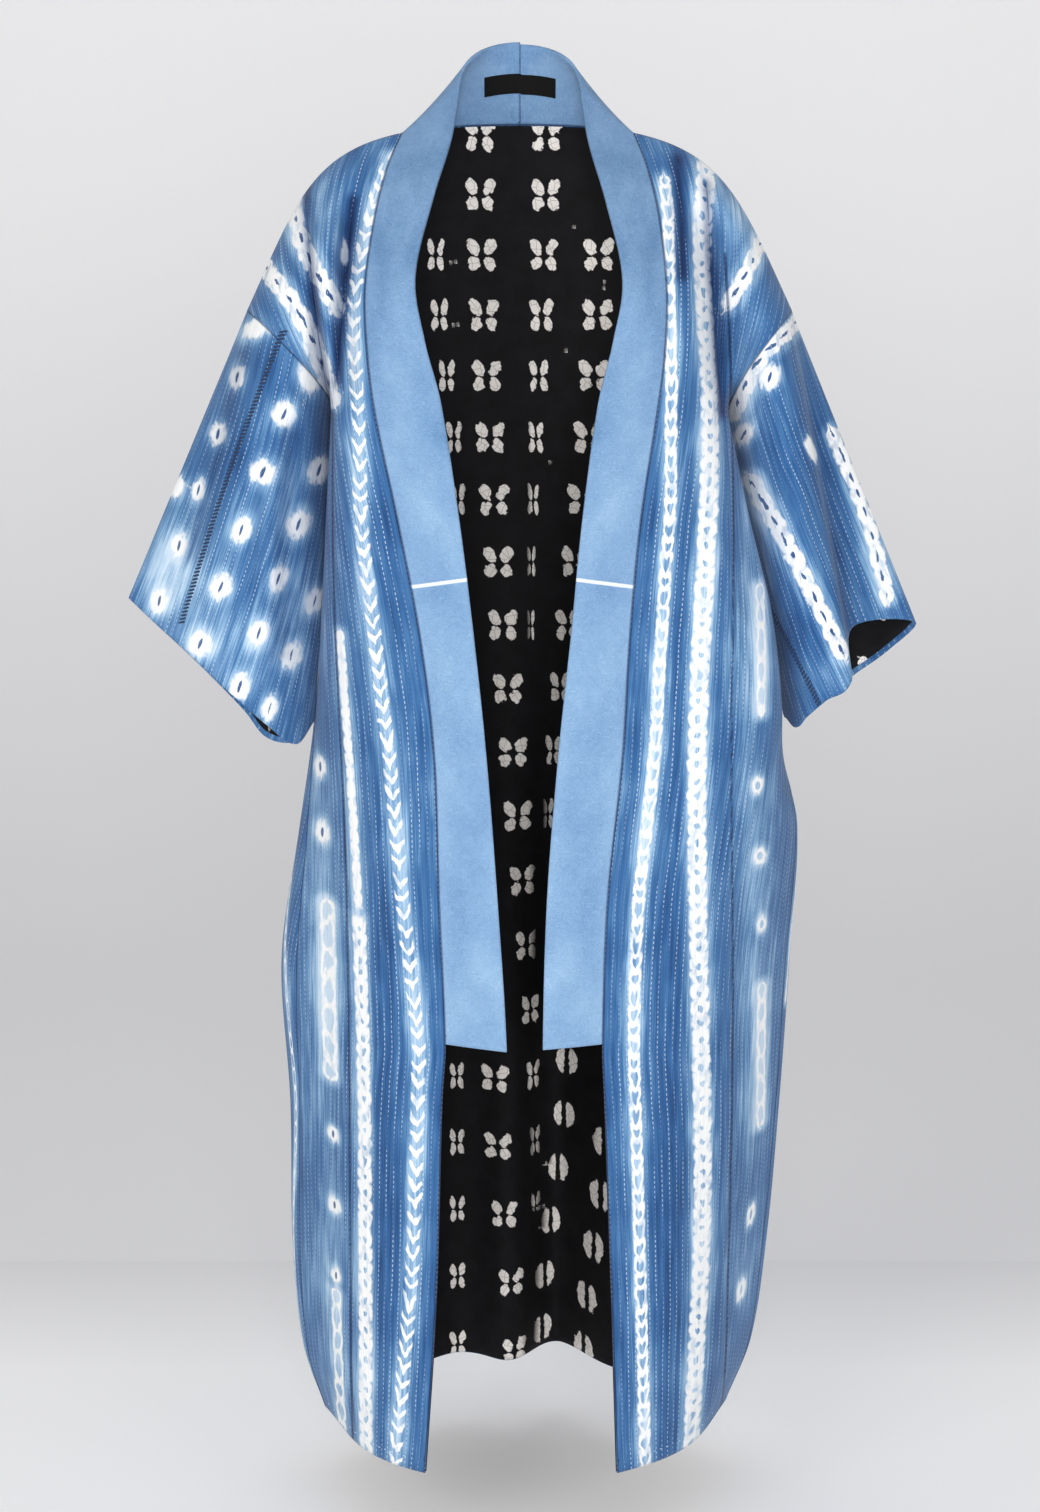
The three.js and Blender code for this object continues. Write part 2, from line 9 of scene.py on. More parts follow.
import bpy
import numpy as np
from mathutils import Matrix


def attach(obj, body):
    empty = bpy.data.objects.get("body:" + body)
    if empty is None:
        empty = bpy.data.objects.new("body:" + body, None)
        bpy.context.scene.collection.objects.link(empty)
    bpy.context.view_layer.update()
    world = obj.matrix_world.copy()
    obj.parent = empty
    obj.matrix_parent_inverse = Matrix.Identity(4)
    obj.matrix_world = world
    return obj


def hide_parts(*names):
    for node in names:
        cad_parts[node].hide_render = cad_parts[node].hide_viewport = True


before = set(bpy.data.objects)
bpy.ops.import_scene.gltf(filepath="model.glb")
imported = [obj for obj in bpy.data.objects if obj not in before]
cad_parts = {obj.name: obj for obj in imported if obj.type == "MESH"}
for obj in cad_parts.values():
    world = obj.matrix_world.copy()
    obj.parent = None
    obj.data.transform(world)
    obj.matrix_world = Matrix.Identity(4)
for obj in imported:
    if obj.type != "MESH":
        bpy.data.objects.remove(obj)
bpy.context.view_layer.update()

# ---- Sizes in millimetres, as in the solids ----
HEM_TO_NECK = 1210
BAND_END = 398
UNDERARM = 958
SHELL = 1.6
LINING = 1.1
GAP = 0.3
BAND_WALL = SHELL + GAP + LINING
LINING_SHORT = 5
SLEEVE_LENGTH = 300
HEM_TURN = 1.0                 # the lining stops this far above the shell's hem
HEM_STITCH = 11.0              # the hem's stitching lies this far above the edge
BAND_STITCH = 9.0              # and the neckband's above its lower end
BAND_JOIN = (806.0, 813.0)     # height of the join in the neckband, at its seam and at its free edge
LABEL_HALF_LONG, LABEL_HALF_TALL = 33.0, 9.0
LABEL_WALL, LABEL_STANDOFF = 1.0, 0.5
NECK_BACK, NECK_RISE = 87, 15
COLLAR_DEPTH, COLLAR_RISE, COLLAR_ROUNDNESS = 66, 52, 0.7
NECK_SHARE = 5 / 14            # share of a half back's columns that end on the back neck

# ---- Curves, as in the solids ----
EDGE_REACH, CENTRE_REACH = 0.42, 0.55
BACK_FOLD_FROM, BACK_FOLD_SIDE = -0.15, 0.3
SHOULDER = np.array((0.98, 0, -0.2)) * 85
UPPER_ARM = np.array((0.42, 0, -0.91)) * 105
YOKE_RISE = 0.5                # a yoke column leaves straight up for this share of its rise
CHEST_ROLL, CHEST_DROP = 0.5, 0.08
BLADE_ROLL, BLADE_DROP = 0.62, 0.1
RING_POINT, RING_OUTWARDS, RING_UPWARDS = 2.2, 1.1, 0.7
PULL_LOW, PULL_HIGH, PULL_UNTIL = 1.2, 2, 0.5
CLEAR_OF_BAND = 30             # creases fade out over this width beside the neckband
BAND_BULGE = (-2, 3)           # of the neckband, in front and behind

# ---- Mesh steps: rows below and above the underarm, and columns ----
FRONT_ROWS, FRONT_COLUMNS = (236, 80), 72
FRONT_LINING_ROWS, FRONT_LINING_COLUMNS = (118, 40), 36
BACK_ROWS, BACK_COLUMNS = (228, 76), 70
BACK_LINING_ROWS, BACK_LINING_COLUMNS = (170, 56), 60
SLEEVE_ROWS, SLEEVE_COLUMNS = 86, 160
SLEEVE_LINING_ROWS, SLEEVE_LINING_COLUMNS = 43, 80
BAND_ROWS, BAND_COLUMNS = (300, 60), 22


# ---- Tables ----
def table(columns, rows):
    """Rows keyed by their first column, read on a cubic through each row with central slopes."""
    names = columns.split()
    data = np.array(rows, float)
    keys = data[:, 0]
    low = np.maximum(np.arange(len(keys)) - 1, 0)
    high = np.minimum(np.arange(len(keys)) + 1, len(keys) - 1)
    slopes = (data[high] - data[low]) / (keys[high] - keys[low])[:, None]

    def read(key):
        x = np.clip(np.asarray(key, float), keys[0], keys[-1])
        i = np.clip(np.searchsorted(keys, x, side="left") - 1, 0, len(keys) - 2)
        span = keys[i + 1] - keys[i]
        t = ((x - keys[i]) / span)[..., None]
        a, b = data[i], data[i + 1]
        m, n = slopes[i] * span[..., None], slopes[i + 1] * span[..., None]
        value = a + t * m + t * t * (3 * (b - a) - 2 * m - n) + t ** 3 * (m + n - 2 * (b - a))
        return {name: value[..., k] for k, name in enumerate(names)}

    return read


EDGE_COLUMNS = "height seamX seamY freeX freeY rise"
RIGHT_EDGE = table(EDGE_COLUMNS, [
    (0, 87, -150, 30, -158, 0),
    (163, 76, -149, 24, -157, 0),
    (347, 70, -146, 14, -156, -4),
    (BAND_END, 67, -145, 12, -155, -5),
    (528, 72, -142, 20, -150, 0),
    (656, 76, -134, 30, -143, 2),
    (760, 88, -128, 41, -137, 4),
    (860, 107, -120, 54, -131, 8),
    (UNDERARM, 128, -107, 70, -119, 11),
    (1010, 135, -96, 84, -110, 11),
    (1066, 137.5, -80, 93, -100, 12),
    (1133, 129.5, -55, 77, -66, 18),
    (1179, 118.7, -30, 62, -28, 25),
    (1210, 107, -5, 55.5, 10, 38),
])
LEFT_EDGE = table(EDGE_COLUMNS, [
    (0, 89, -150, 36, -158, 0),
    (163, 83, -149, 31, -157, 0),
    (347, 76, -146, 22, -156, -2),
    (BAND_END, 74, -145, 20.5, -155, -3),
    (528, 78, -142, 24, -150, 0),
    (656, 91, -134, 34, -143, 2),
    (760, 97, -128, 45, -137, 3),
    (860, 106, -120, 55, -131, 5),
    (UNDERARM, 121, -107, 69, -118, 9),
    (1010, 128, -97, 82, -108, 10),
    (1066, 130, -82, 91, -99, 10),
    (1133, 124, -55, 76, -65, 16),
    (1179, 114, -28, 62, -28, 22),
    (1210, 103, -5, 55.5, 10, 36),
])
SIDE_COLUMNS = "height sideX sideY frontTurn sideTurn frontSwell backSwell backY"
RIGHT_SIDE = table(SIDE_COLUMNS, [
    (0, 188, 17, 32, 68, 80, 66, 176),
    (60, 204, 8, 28, 62, 80, 84, 174),
    (160, 210, 2, 22, 58, 82, 94, 170),
    (300, 209, -3, 18, 55, 82, 95, 166),
    (440, 210, -8, 15, 52, 80, 120, 158),
    (570, 199, -7, 13, 60, 72, 95, 148),
    (690, 190, 2, 10, 80, 70, 80, 136),
    (785, 184, 6, 8, 88, 66, 75, 126),
    (880, 177, 8, 8, 92, 60, 72, 118),
    (UNDERARM, 171, 8, 8, 90, 54, 70, 112),
])
LEFT_SIDE = table(SIDE_COLUMNS, [
    (0, 200, 34, 32, 72, 95, 60, 176),
    (60, 222, 33, 28, 66, 98, 70, 174),
    (160, 234, 28, 22, 62, 98, 80, 170),
    (300, 245, 25, 18, 64, 100, 85, 166),
    (440, 252, 18, 15, 64, 98, 92, 158),
    (570, 260, 14, 13, 72, 98, 88, 148),
    (630, 249, 18, 12, 88, 104, 80, 142),
    (690, 231, 24, 10, 112, 115, 75, 136),
    (785, 213, 22, 8, 121, 105, 72, 126),
    (880, 202, 14, 8, 106, 72, 70, 118),
    (UNDERARM, 191, 8, 8, 92, 56, 70, 112),
])
CUFF_COLUMNS = "turn reach depth height"
RIGHT_CUFF = table(CUFF_COLUMNS, [
    (0.00, 192, 6, 672),
    (0.06, 207, -20, 653),
    (0.15, 232, -42, 673),
    (0.25, 266, -52, 705),
    (0.35, 302, -44, 738),
    (0.43, 336, -22, 765),
    (0.50, 364, 4, 787),
    (0.57, 338, 28, 757),
    (0.65, 302, 40, 720),
    (0.75, 264, 43, 680),
    (0.85, 240, 40, 652),
    (0.94, 210, 26, 650),
    (1.00, 192, 6, 672),
])
LEFT_CUFF = table(CUFF_COLUMNS, [
    (0.00, 247, 16, 677),
    (0.06, 255, -15, 668),
    (0.15, 263, -38, 680),
    (0.28, 280, -52, 697),
    (0.40, 303, -54, 716),
    (0.45, 307, -20, 762),
    (0.50, 368, 4, 765),
    (0.55, 349, 34, 737),
    (0.63, 320, 48, 713),
    (0.75, 288, 54, 688),
    (0.87, 259, 52, 670),
    (0.95, 251, 38, 671),
    (1.00, 247, 16, 677),
])
# x, half-width, depth at the hem, height at which the fold has died away
BACK_FOLDS = [
    (-10, 24, -28, 1120),
    (38, 31, 40, 1080),
    (104, 34, -30, 900),
    (-66, 26, 12, 900),
    (-128, 30, -16, 820),
]
# face, fromX, fromHeight, toX, toHeight, half-width inwards and outwards, depth
CREASES = [
    (-1, -126, 1195, -160, 950, 15, 26, -34),
    (-1, -197, 1165, -180, 960, 34, 11, 13),
    (-1, 158, 1200, 184, 955, 15, 28, -32),
    (-1, 134, 1215, 141, 1060, 9, 9, -7),
    (-1, -206, 990, -200, 760, 22, 26, -13),
    (-1, 212, 1050, 214, 740, 18, 24, -12),
    (1, -138, 1190, -172, 960, 20, 28, -16),
    (1, 142, 1190, 184, 960, 20, 28, -16),
    (1, -262, 1000, -288, 720, 24, 24, -9),
    (1, 266, 1000, 292, 720, 24, 24, -9),
]

RIGHT = {
    "sign": -1, "edge": RIGHT_EDGE, "side": RIGHT_SIDE, "cuff": RIGHT_CUFF, "arm": (-78, 80),
    "neck": np.array((-107.0, -5, 1210)), "underarm": np.array((-171.0, 8, UNDERARM)),
    "top": np.array((-249.0, 0, 1052)),
}
LEFT = {
    "sign": 1, "edge": LEFT_EDGE, "side": LEFT_SIDE, "cuff": LEFT_CUFF, "arm": (-78, 80),
    "neck": np.array((103.0, -5, 1210)), "underarm": np.array((191.0, 8, UNDERARM)),
    "top": np.array((248.0, 0, 1052)),
}


# ---- Arithmetic on whole grids ----
def smooth(low, high, x):
    """0 below low, 1 above high, 3t^2 - 2t^3 between."""
    t = np.clip((x - low) / (high - low), 0, 1)
    return t * t * (3 - 2 * t)


def mix(a, b, t):
    return a + (b - a) * t


def points(x, y, z):
    return np.stack(np.broadcast_arrays(x, y, z), -1).astype(float)


def bezier(p0, p1, p2, p3, t):
    """Cubic with the weights (1-t)^3, 3t(1-t)^2, 3t^2(1-t), t^3."""
    t = np.asarray(t, float)[..., None]
    s = 1 - t
    return s ** 3 * p0 + 3 * t * s * s * p1 + 3 * t * t * s * p2 + t ** 3 * p3


def lengths(p, axis):
    """Distance run along one axis of a grid, from its first line."""
    steps = np.linalg.norm(np.diff(p, axis=axis), axis=-1)
    start = np.zeros_like(np.take(steps, [0], axis=axis))
    return np.concatenate([start, np.cumsum(steps, axis=axis)], axis=axis)


# ---- Body surface ----
def front_row(part, height, across):
    """Plan curve at each height: a cubic from the neckband seam to the side seam that leaves and
    arrives at the table's turns."""
    edge, side = part["edge"](height), part["side"](height)
    s = part["sign"]
    start = points(s * edge["seamX"], edge["seamY"], height)
    end = points(s * side["sideX"], side["sideY"], height)
    a, b = np.radians(side["frontTurn"]), np.radians(side["sideTurn"])
    chord = np.linalg.norm(end - start, axis=-1)
    leave = points(s * np.cos(a), np.sin(a), 0) * (EDGE_REACH * chord)[..., None]
    arrive = points(s * np.cos(b), np.sin(b), 0) * side["frontSwell"][..., None]
    return bezier(start, start + leave, end - arrive, end, across)


def back_fold(x, height):
    """Sum of bell-shaped folds exp(-((x - centre) / width)^2), each dying away with height."""
    depth = 0
    for centre, width, at_hem, top in BACK_FOLDS:
        fade = 1 - smooth(BACK_FOLD_FROM * top, top, height)
        depth = depth + at_hem * np.exp(-((x - centre) / width) ** 2) * fade
    return depth


def back_row(part, height, across):
    """Plan curve of half the back: a cubic from the side seam to the centre, plus the folds."""
    side = part["side"](height)
    s = part["sign"]
    start = points(s * side["sideX"], side["sideY"], height)
    centre = points(0, side["backY"], height)
    turn = np.radians(side["sideTurn"])
    leave = points(s * np.cos(turn), np.sin(turn), 0) * side["backSwell"][..., None]
    arrive = points(s * side["sideX"] * CENTRE_REACH, 0, 0)
    p = bezier(start, start + leave, centre + arrive, centre, across)
    p[..., 1] += back_fold(p[..., 0], height) * smooth(0, BACK_FOLD_SIDE, across)
    return p


# As the creases, but too narrow for the solids. The deep narrow ones are the armpits' valleys.
FINE_CREASES = [
    (-1, -197, 1190, -168, 900, 4, 9, -12),
    (-1, -148, 1170, -168, 940, 4, 8, -10),
    (-1, -172, 1190, -162, 960, 8, 8, 9),
    (-1, 166, 1190, 186, 900, 4, 8, -12),
    (-1, 142, 1200, 145, 1050, 3, 5, -5),
    (-1, 205, 1120, 196, 980, 8, 8, 4),
    (-1, -226, 960, -238, 760, 7, 9, -5),
    (-1, -262, 900, -292, 790, 9, 9, 3),
    (-1, 246, 930, 276, 740, 8, 8, 4),
    (-1, 250, 1035, 298, 752, 16, 4, 5),
    (-1, -182, 640, -186, 90, 12, 12, -4),
    (-1, 148, 700, 142, 60, 14, 14, 3),
    (-1, 206, 620, 214, 80, 12, 12, -4),
    (-1, -132, 560, -128, 60, 12, 12, 3),
]


def drape(p, part):
    """Moves points out or in by each crease: depth times a bell across the line from its high to
    its low point, eased at both ends, and only on the side of the robe that it lies on."""
    x, y, z = p[..., 0], p[..., 1], p[..., 2]
    off_band = smooth(0, CLEAR_OF_BAND, np.abs(x) - part["edge"](z)["seamX"])
    moved = np.zeros_like(x)
    for face, x1, z1, x2, z2, inner, outer, depth in CREASES + FINE_CREASES:
        along = (z1 - z) / (z1 - z2)
        offset = (x - mix(x1, x2, along)) * np.sign(x2)
        bell = np.exp(-(offset / np.where(offset < 0, inner, outer)) ** 2)
        ends = smooth(0, 0.3, along) * (1 - smooth(0.75, 1, along))
        moved += face * depth * bell * ends * smooth(25, 75, face * y)
    p = p.copy()
    p[..., 1] += moved * np.where(z > BAND_END, off_band, 1)
    return p


def shoulder_line(part, t):
    """Cubic from the neck point to the sleeve's top, over the shoulder and down the upper arm."""
    out = np.array((part["sign"], 1, 1))
    return bezier(part["neck"], part["neck"] + SHOULDER * out, part["top"] - UPPER_ARM * out,
                  part["top"], t)


def armhole(part, t, forwards):
    """Half of the armhole ring: from the underarm to the top with a sine bulge, pointed below."""
    climb = (1 - np.cos(np.pi * t)) / 2
    depth = part["arm"][0] if forwards else part["arm"][1]
    bulge = np.abs(np.sin(np.pi * t)) ** mix(RING_POINT, 1, t)
    a, b = part["underarm"], part["top"]
    return points(mix(a[0], b[0], climb ** RING_OUTWARDS), mix(a[1], b[1], climb) + depth * bulge,
                  mix(a[2], b[2], climb ** RING_UPWARDS))


def back_neck(part, t):
    """Quarter ellipse from the neck point to the centre back."""
    angle = t * np.pi / 2
    n = part["neck"]
    return points(n[0] * np.cos(angle), n[1] + NECK_BACK * np.sin(angle),
                  n[2] + NECK_RISE * np.sin(angle))


def pull_to_armhole(offset, nearness, up):
    """An offset at the armhole, dying away as powers of the nearness to it."""
    spread = mix(PULL_LOW, PULL_HIGH, smooth(0, PULL_UNTIL, up))
    return offset * points(nearness ** 2, nearness ** spread, nearness ** 2)


def lifted(low, high, up, roll, drop):
    """A yoke column: straight up from its foot, then rolled on to the shoulder."""
    rise = (high - low)[..., 2]
    return bezier(low, low + points(0, 0, YOKE_RISE * rise), high + points(0, roll, -drop * rise),
                  high, up)


def front_yoke(part, across, up):
    """Columns from the underarm to the shoulder, drawn to the neckband seam and to the armhole."""
    def column(c):
        low = front_row(part, np.full_like(c, UNDERARM), c)
        return lifted(low, shoulder_line(part, c), up, CHEST_ROLL * low[..., 1], CHEST_DROP)
    seam_height = mix(UNDERARM, part["neck"][2], up)
    edge = part["edge"](seam_height)
    seam = points(part["sign"] * edge["seamX"], edge["seamY"], seam_height)
    zero, one = np.zeros_like(across), np.ones_like(across)
    p = column(across) + (seam - column(zero)) * ((1 - across) ** 2)[..., None]
    return p + pull_to_armhole(armhole(part, up, True) - column(one), across, up)


def back_yoke(part, across, up):
    """Columns from the underarm to the shoulder or the back neck, drawn to the armhole."""
    def column(c):
        low = back_row(part, np.full_like(c, UNDERARM), c)
        on_shoulder = (c <= 1 - NECK_SHARE)[..., None]
        shoulder = shoulder_line(part, np.clip(1 - c / (1 - NECK_SHARE), 0, 1))
        neck = back_neck(part, np.clip((c - 1 + NECK_SHARE) / NECK_SHARE, 0, 1))
        high = np.where(on_shoulder, shoulder, neck)
        return lifted(low, high, up, BLADE_ROLL * (low - high)[..., 1], BLADE_DROP)
    zero = np.zeros_like(across)
    p = column(across)
    return p + pull_to_armhole(armhole(part, up, False) - column(zero), 1 - across, up)


def climb_lines(skirt_rows, yoke_rows, lowest=0.0):
    """Row parameter from the hem (lowest, in mm) through 1 at the underarm to 2 at the shoulder."""
    skirt = np.linspace(lowest / UNDERARM, 1, skirt_rows + 1)
    return np.concatenate([skirt, 1 + np.linspace(0, 1, yoke_rows + 1)[1:]])


def front_points(part, rows, columns, lowest=0.0):
    """Skirt rows where the row parameter is below 1 and yoke rows above it, then the creases."""
    climb, across = np.meshgrid(climb_lines(*rows, lowest), np.linspace(0, 1, columns + 1), indexing="ij")
    skirt = front_row(part, UNDERARM * np.minimum(climb, 1), across)
    yoke = front_yoke(part, across, np.maximum(climb - 1, 0))
    return drape(np.where((climb <= 1)[..., None], skirt, yoke), part)


def back_points(rows, columns, lowest=0.0):
    """Both halves of the back, from the right side seam over the centre to the left one."""
    halves = []
    for part in (RIGHT, LEFT):
        climb, across = np.meshgrid(climb_lines(*rows, lowest), np.linspace(0, 1, columns + 1),
                                    indexing="ij")
        skirt = back_row(part, UNDERARM * np.minimum(climb, 1), across)
        yoke = back_yoke(part, across, np.maximum(climb - 1, 0))
        halves.append(drape(np.where((climb <= 1)[..., None], skirt, yoke), part))
    return np.concatenate([halves[0], halves[1][:, -2::-1]], axis=1)


def sleeve_points(part, rows, columns, last=1.0):
    """A tube between two closed curves: the armhole ring (first row) and the cuff's rim (last row),
    joined by straight lines and then creased. Columns go once round from the underarm."""
    along, turn = np.meshgrid(np.linspace(0, last, rows + 1), np.linspace(0, 1, columns + 1), indexing="ij")
    half = 1 - np.abs(2 * turn - 1)
    ring = np.where((turn <= 0.5)[..., None], armhole(part, half, True), armhole(part, half, False))
    rim = part["cuff"](turn)
    rim = points(part["sign"] * rim["reach"], rim["depth"], rim["height"])
    return drape(ring + (rim - ring) * along[..., None], part)


def band_points(part, rows, columns):
    """Quadratic strips from the seam to the free edge: along the front, then round the neck on
    quarter ellipses."""
    climb, across = np.meshgrid(
        np.concatenate([np.linspace(0, 1, rows[0] + 1), 1 + np.linspace(0, 1, rows[1] + 1)[1:]]),
        np.linspace(0, 1, columns + 1), indexing="ij")
    s, n = part["sign"], part["neck"]
    height = mix(BAND_END, n[2], np.minimum(climb, 1))
    edge = part["edge"](height)
    angle = np.maximum(climb - 1, 0) * np.pi / 2
    behind = climb > 1
    seam = np.where(behind[..., None], back_neck(part, np.maximum(climb - 1, 0)),
                    points(s * edge["seamX"], edge["seamY"], height))
    start = part["edge"](n[2])
    round_neck = points(s * start["freeX"] * np.cos(angle), start["freeY"] + COLLAR_DEPTH * np.sin(angle),
                        n[2] + start["rise"] + COLLAR_RISE * np.sin(angle) ** COLLAR_ROUNDNESS)
    free = np.where(behind[..., None], round_neck,
                    points(s * edge["freeX"], edge["freeY"], height + edge["rise"]))
    bulge = mix(*BAND_BULGE, smooth(0.93, 1.1, climb))
    middle = (seam + free) / 2 + points(0, bulge, 0)
    t = across[..., None]
    return (1 - t) ** 2 * seam + 2 * t * (1 - t) * middle + t * t * free


def outward(p, flipped, wraps=False):
    """Unit normals of a grid from its row and column differences."""
    if wraps:
        wide = np.concatenate([p[:, -2:-1], p, p[:, 1:2]], axis=1)
        across = (wide[:, 2:] - wide[:, :-2]) / 2
    else:
        across = np.gradient(p, axis=1)
    n = np.cross(across, np.gradient(p, axis=0))
    n /= np.maximum(np.linalg.norm(n, axis=-1, keepdims=True), 1e-9)
    return -n if flipped else n


# ---- Meshes ----
def cloth(name, p, uv, flipped, thickness, wraps=False, facts=None):
    """A grid of points becomes a mesh with smooth faces, the cloth's own millimetres as its UV map
    and one attribute for each fact, and then a wall of the given thickness behind its face."""
    rows, columns = p.shape[0] - 1, p.shape[1] - 1
    width = columns if wraps else columns + 1
    ids = np.arange((rows + 1) * width).reshape(rows + 1, width)
    if wraps:
        ids = np.concatenate([ids, ids[:, :1]], axis=1)
    quads = np.stack([ids[:-1, :-1], ids[:-1, 1:], ids[1:, 1:], ids[1:, :-1]], -1).reshape(-1, 4)
    corners = np.stack([uv[:-1, :-1], uv[:-1, 1:], uv[1:, 1:], uv[1:, :-1]], 2)
    corners = corners.reshape(-1, 4, 2)
    if flipped:
        quads, corners = quads[:, ::-1], corners[:, ::-1]
    verts = (p[:, :width] - (0, 0, HEM_TO_NECK)).reshape(-1, 3) / 1000
    mesh = bpy.data.meshes.new(name)
    mesh.vertices.add(len(verts))
    mesh.loops.add(quads.size)
    mesh.polygons.add(len(quads))
    mesh.vertices.foreach_set("co", verts.astype(np.float32).ravel())
    mesh.loops.foreach_set("vertex_index", quads.astype(np.int32).ravel())
    mesh.polygons.foreach_set("loop_start", np.arange(0, quads.size, 4, dtype=np.int32))
    mesh.update(calc_edges=True)
    layer = mesh.uv_layers.new(name="cloth")
    layer.data.foreach_set("uv", (corners / 1000).astype(np.float32).ravel())
    for key, values in (facts or {}).items():
        values = values[:, :width]
        kind = "FLOAT_VECTOR" if values.ndim == 3 else "FLOAT"
        attribute = mesh.attributes.new(key, kind, "POINT")
        attribute.data.foreach_set("vector" if values.ndim == 3 else "value",
                                   values.astype(np.float32).ravel())
    mesh.shade_smooth()
    piece = bpy.data.objects.new(name, mesh)
    bpy.context.scene.collection.objects.link(piece)
    solid = piece.modifiers.new("wall", "SOLIDIFY")
    solid.thickness = thickness / 1000
    solid.offset = -1
    solid.use_even_offset = False
    return piece


# ---- Resist-dyed marks, placed by x and height as they lie on the worn robe ----
# Kinds of chain: slope, hole half-width and half-height, body centre, half-width and half-height.
# All are shares of the chain's own half-width across and of one repeat along it.
CHEVRON = (0.60, 0.0, 0.0, 0.0, 1.7, 0.22)
WEDGES = (0.28, 0.27, 0.22, 0.0, 1.05, 0.66)
HEARTS = (0.50, 0.55, 0.33, 0.0, 1.05, 0.68)
BEADS = (0.0, 0.0, 0.0, 0.0, 1.0, 0.62)
LENSES = (0.0, 0.62, 0.40, 0.0, 1.0, 0.78)
PAIRS = (0.0, 0.17, 0.27, 0.0, 1.0, 0.70)


def course(*stops):
    """A smooth line down the cloth through a few given stops (x, height), highest first."""
    read = table("height x", [(height, x) for x, height in reversed(stops)])
    heights = np.linspace(stops[0][1], stops[-1][1], 24)
    return np.stack([read(heights)["x"], heights], -1)


def beside(part, *stops):
    """A line kept beside the neckband seam by stops of (height, distance from it), highest first."""
    away = table("height away", list(reversed(stops)))
    heights = np.linspace(stops[0][0], stops[-1][0], 40)
    x = part["edge"](heights)["seamX"] + away(heights)["away"]
    return np.stack([part["sign"] * x, heights], -1)


def spot_column(x, height, across, down, count, half, long, lean, hole):
    """Stitched spots at even steps down the cloth, each a little wider or narrower than the last."""
    return [(x + across * k, height - down * k, half * (1 + 0.15 * math.sin(2.1 * k)), long, lean, hole)
            for k in range(count)]


# kind, half-width, repeat, line
FRONT_RIGHT_CHAINS = [
    (CHEVRON, 6.6, 15.5, beside(RIGHT, (1185, 0), (1060, 10), (960, 15), (850, 35), (700, 42), (520, 33),
                                (340, 22), (0, 28))),
    (BEADS, 4.6, 14.0, course((-162, 760), (-150, 580), (-146, 510))),
    (WEDGES, 7.2, 14.5, course((-146, 510), (-142, 330), (-143, 0))),
    (LENSES, 8.6, 26.0, course((-178, 505), (-176, 350))),
    (LENSES, 5.6, 24.0, course((-172, 140), (-169, 0))),
    (PAIRS, 9.0, 19.5, course((-212, 1170), (-195, 1110), (-162, 1050))),
    (PAIRS, 9.6, 20.5, course((-232, 1090), (-196, 1045), (-168, 970))),
]
FRONT_LEFT_CHAINS = [
    (HEARTS, 6.0, 15.5, beside(LEFT, (1165, 12), (1060, 2), (960, 12), (860, 26), (450, 28), (0, 26))),
    (WEDGES, 9.4, 14.0, course((170, 1190), (163, 1110), (170, 950), (158, 650), (168, 240), (160, 0))),
    (LENSES, 5.0, 24.0, course((218, 800), (218, 690))),
    (LENSES, 5.4, 26.0, course((226, 425), (228, 290))),
    (PAIRS, 8.0, 18.0, course((218, 1110), (187, 1055))),
]
SLEEVE_LEFT_CHAINS = [
    (PAIRS, 8.4, 18.5, course((252, 1040), (216, 1008), (194, 956))),
    (PAIRS, 8.4, 19.0, course((212, 895), (242, 840), (293, 742))),
    (PAIRS, 8.2, 20.0, course((288, 938), (318, 868), (340, 790))),
]
BACK_CHAINS = [                 # here x runs along the cloth from the middle
    (LENSES, 3.4, 17.0, course((-266, 560), (-314, 400), (-300, 40))),
    (BEADS, 4.0, 13.0, course((322, 600), (342, 400))),
    (WEDGES, 9.0, 14.5, course((66, 1200), (74, 0))),
    (CHEVRON, 6.6, 15.5, course((-62, 1200), (-76, 0))),
    (HEARTS, 6.2, 15.5, course((-148, 1150), (-164, 0))),
    (LENSES, 8.0, 26.0, course((156, 1120), (176, 0))),
    (PAIRS, 8.8, 19.5, course((6, 1150), (2, 700))),
    (LENSES, 6.0, 25.0, course((-232, 540), (-232, 0))),
    (WEDGES, 7.4, 14.5, course((254, 590), (258, 0))),
]
# x, height, half-width, half-length, lean in degrees, hole half-width as a share
FRONT_RIGHT_SPOTS = (
    spot_column(-185, 633, 2, 60, 2, 7, 11, 3, 0.24) + spot_column(-174, 292, 1, 67, 3, 6.2, 8.5, 0, 0.25)
    + [(-157, 1100, 3.6, 12, 0, 0.0), (-200, 1190, 7, 15, 30, 0.0)])
FRONT_LEFT_SPOTS = (
    spot_column(216, 622, 4, 67, 3, 6.4, 9, 0, 0.45) + spot_column(220, 200, -9, 73, 2, 5, 12, 6, 0.3))
SLEEVE_RIGHT_SPOTS = (
    spot_column(-256, 990, -19, 51, 5, 8, 12, 14, 0.2)
    + spot_column(-212, 957, -20, 52, 5, 11, 13, 22, 0.16)
    + spot_column(-184, 906, -18, 49, 5, 9, 14, 18, 0.17)
    + spot_column(-190, 785, -20, 48, 3, 8.5, 13, 14, 0.1)
    + [(-316, 890, 8, 12, 14, 0.0), (-190, 990, 9, 16, -8, 0.0), (-236, 1034, 18, 9, -20, 0.0)])
SLEEVE_LEFT_SPOTS = [
    (224, 990, 9.5, 12, 15, 0.2), (204, 938, 7, 12, 20, 0.2), (264, 925, 5.5, 14, -26, 0.0),
]
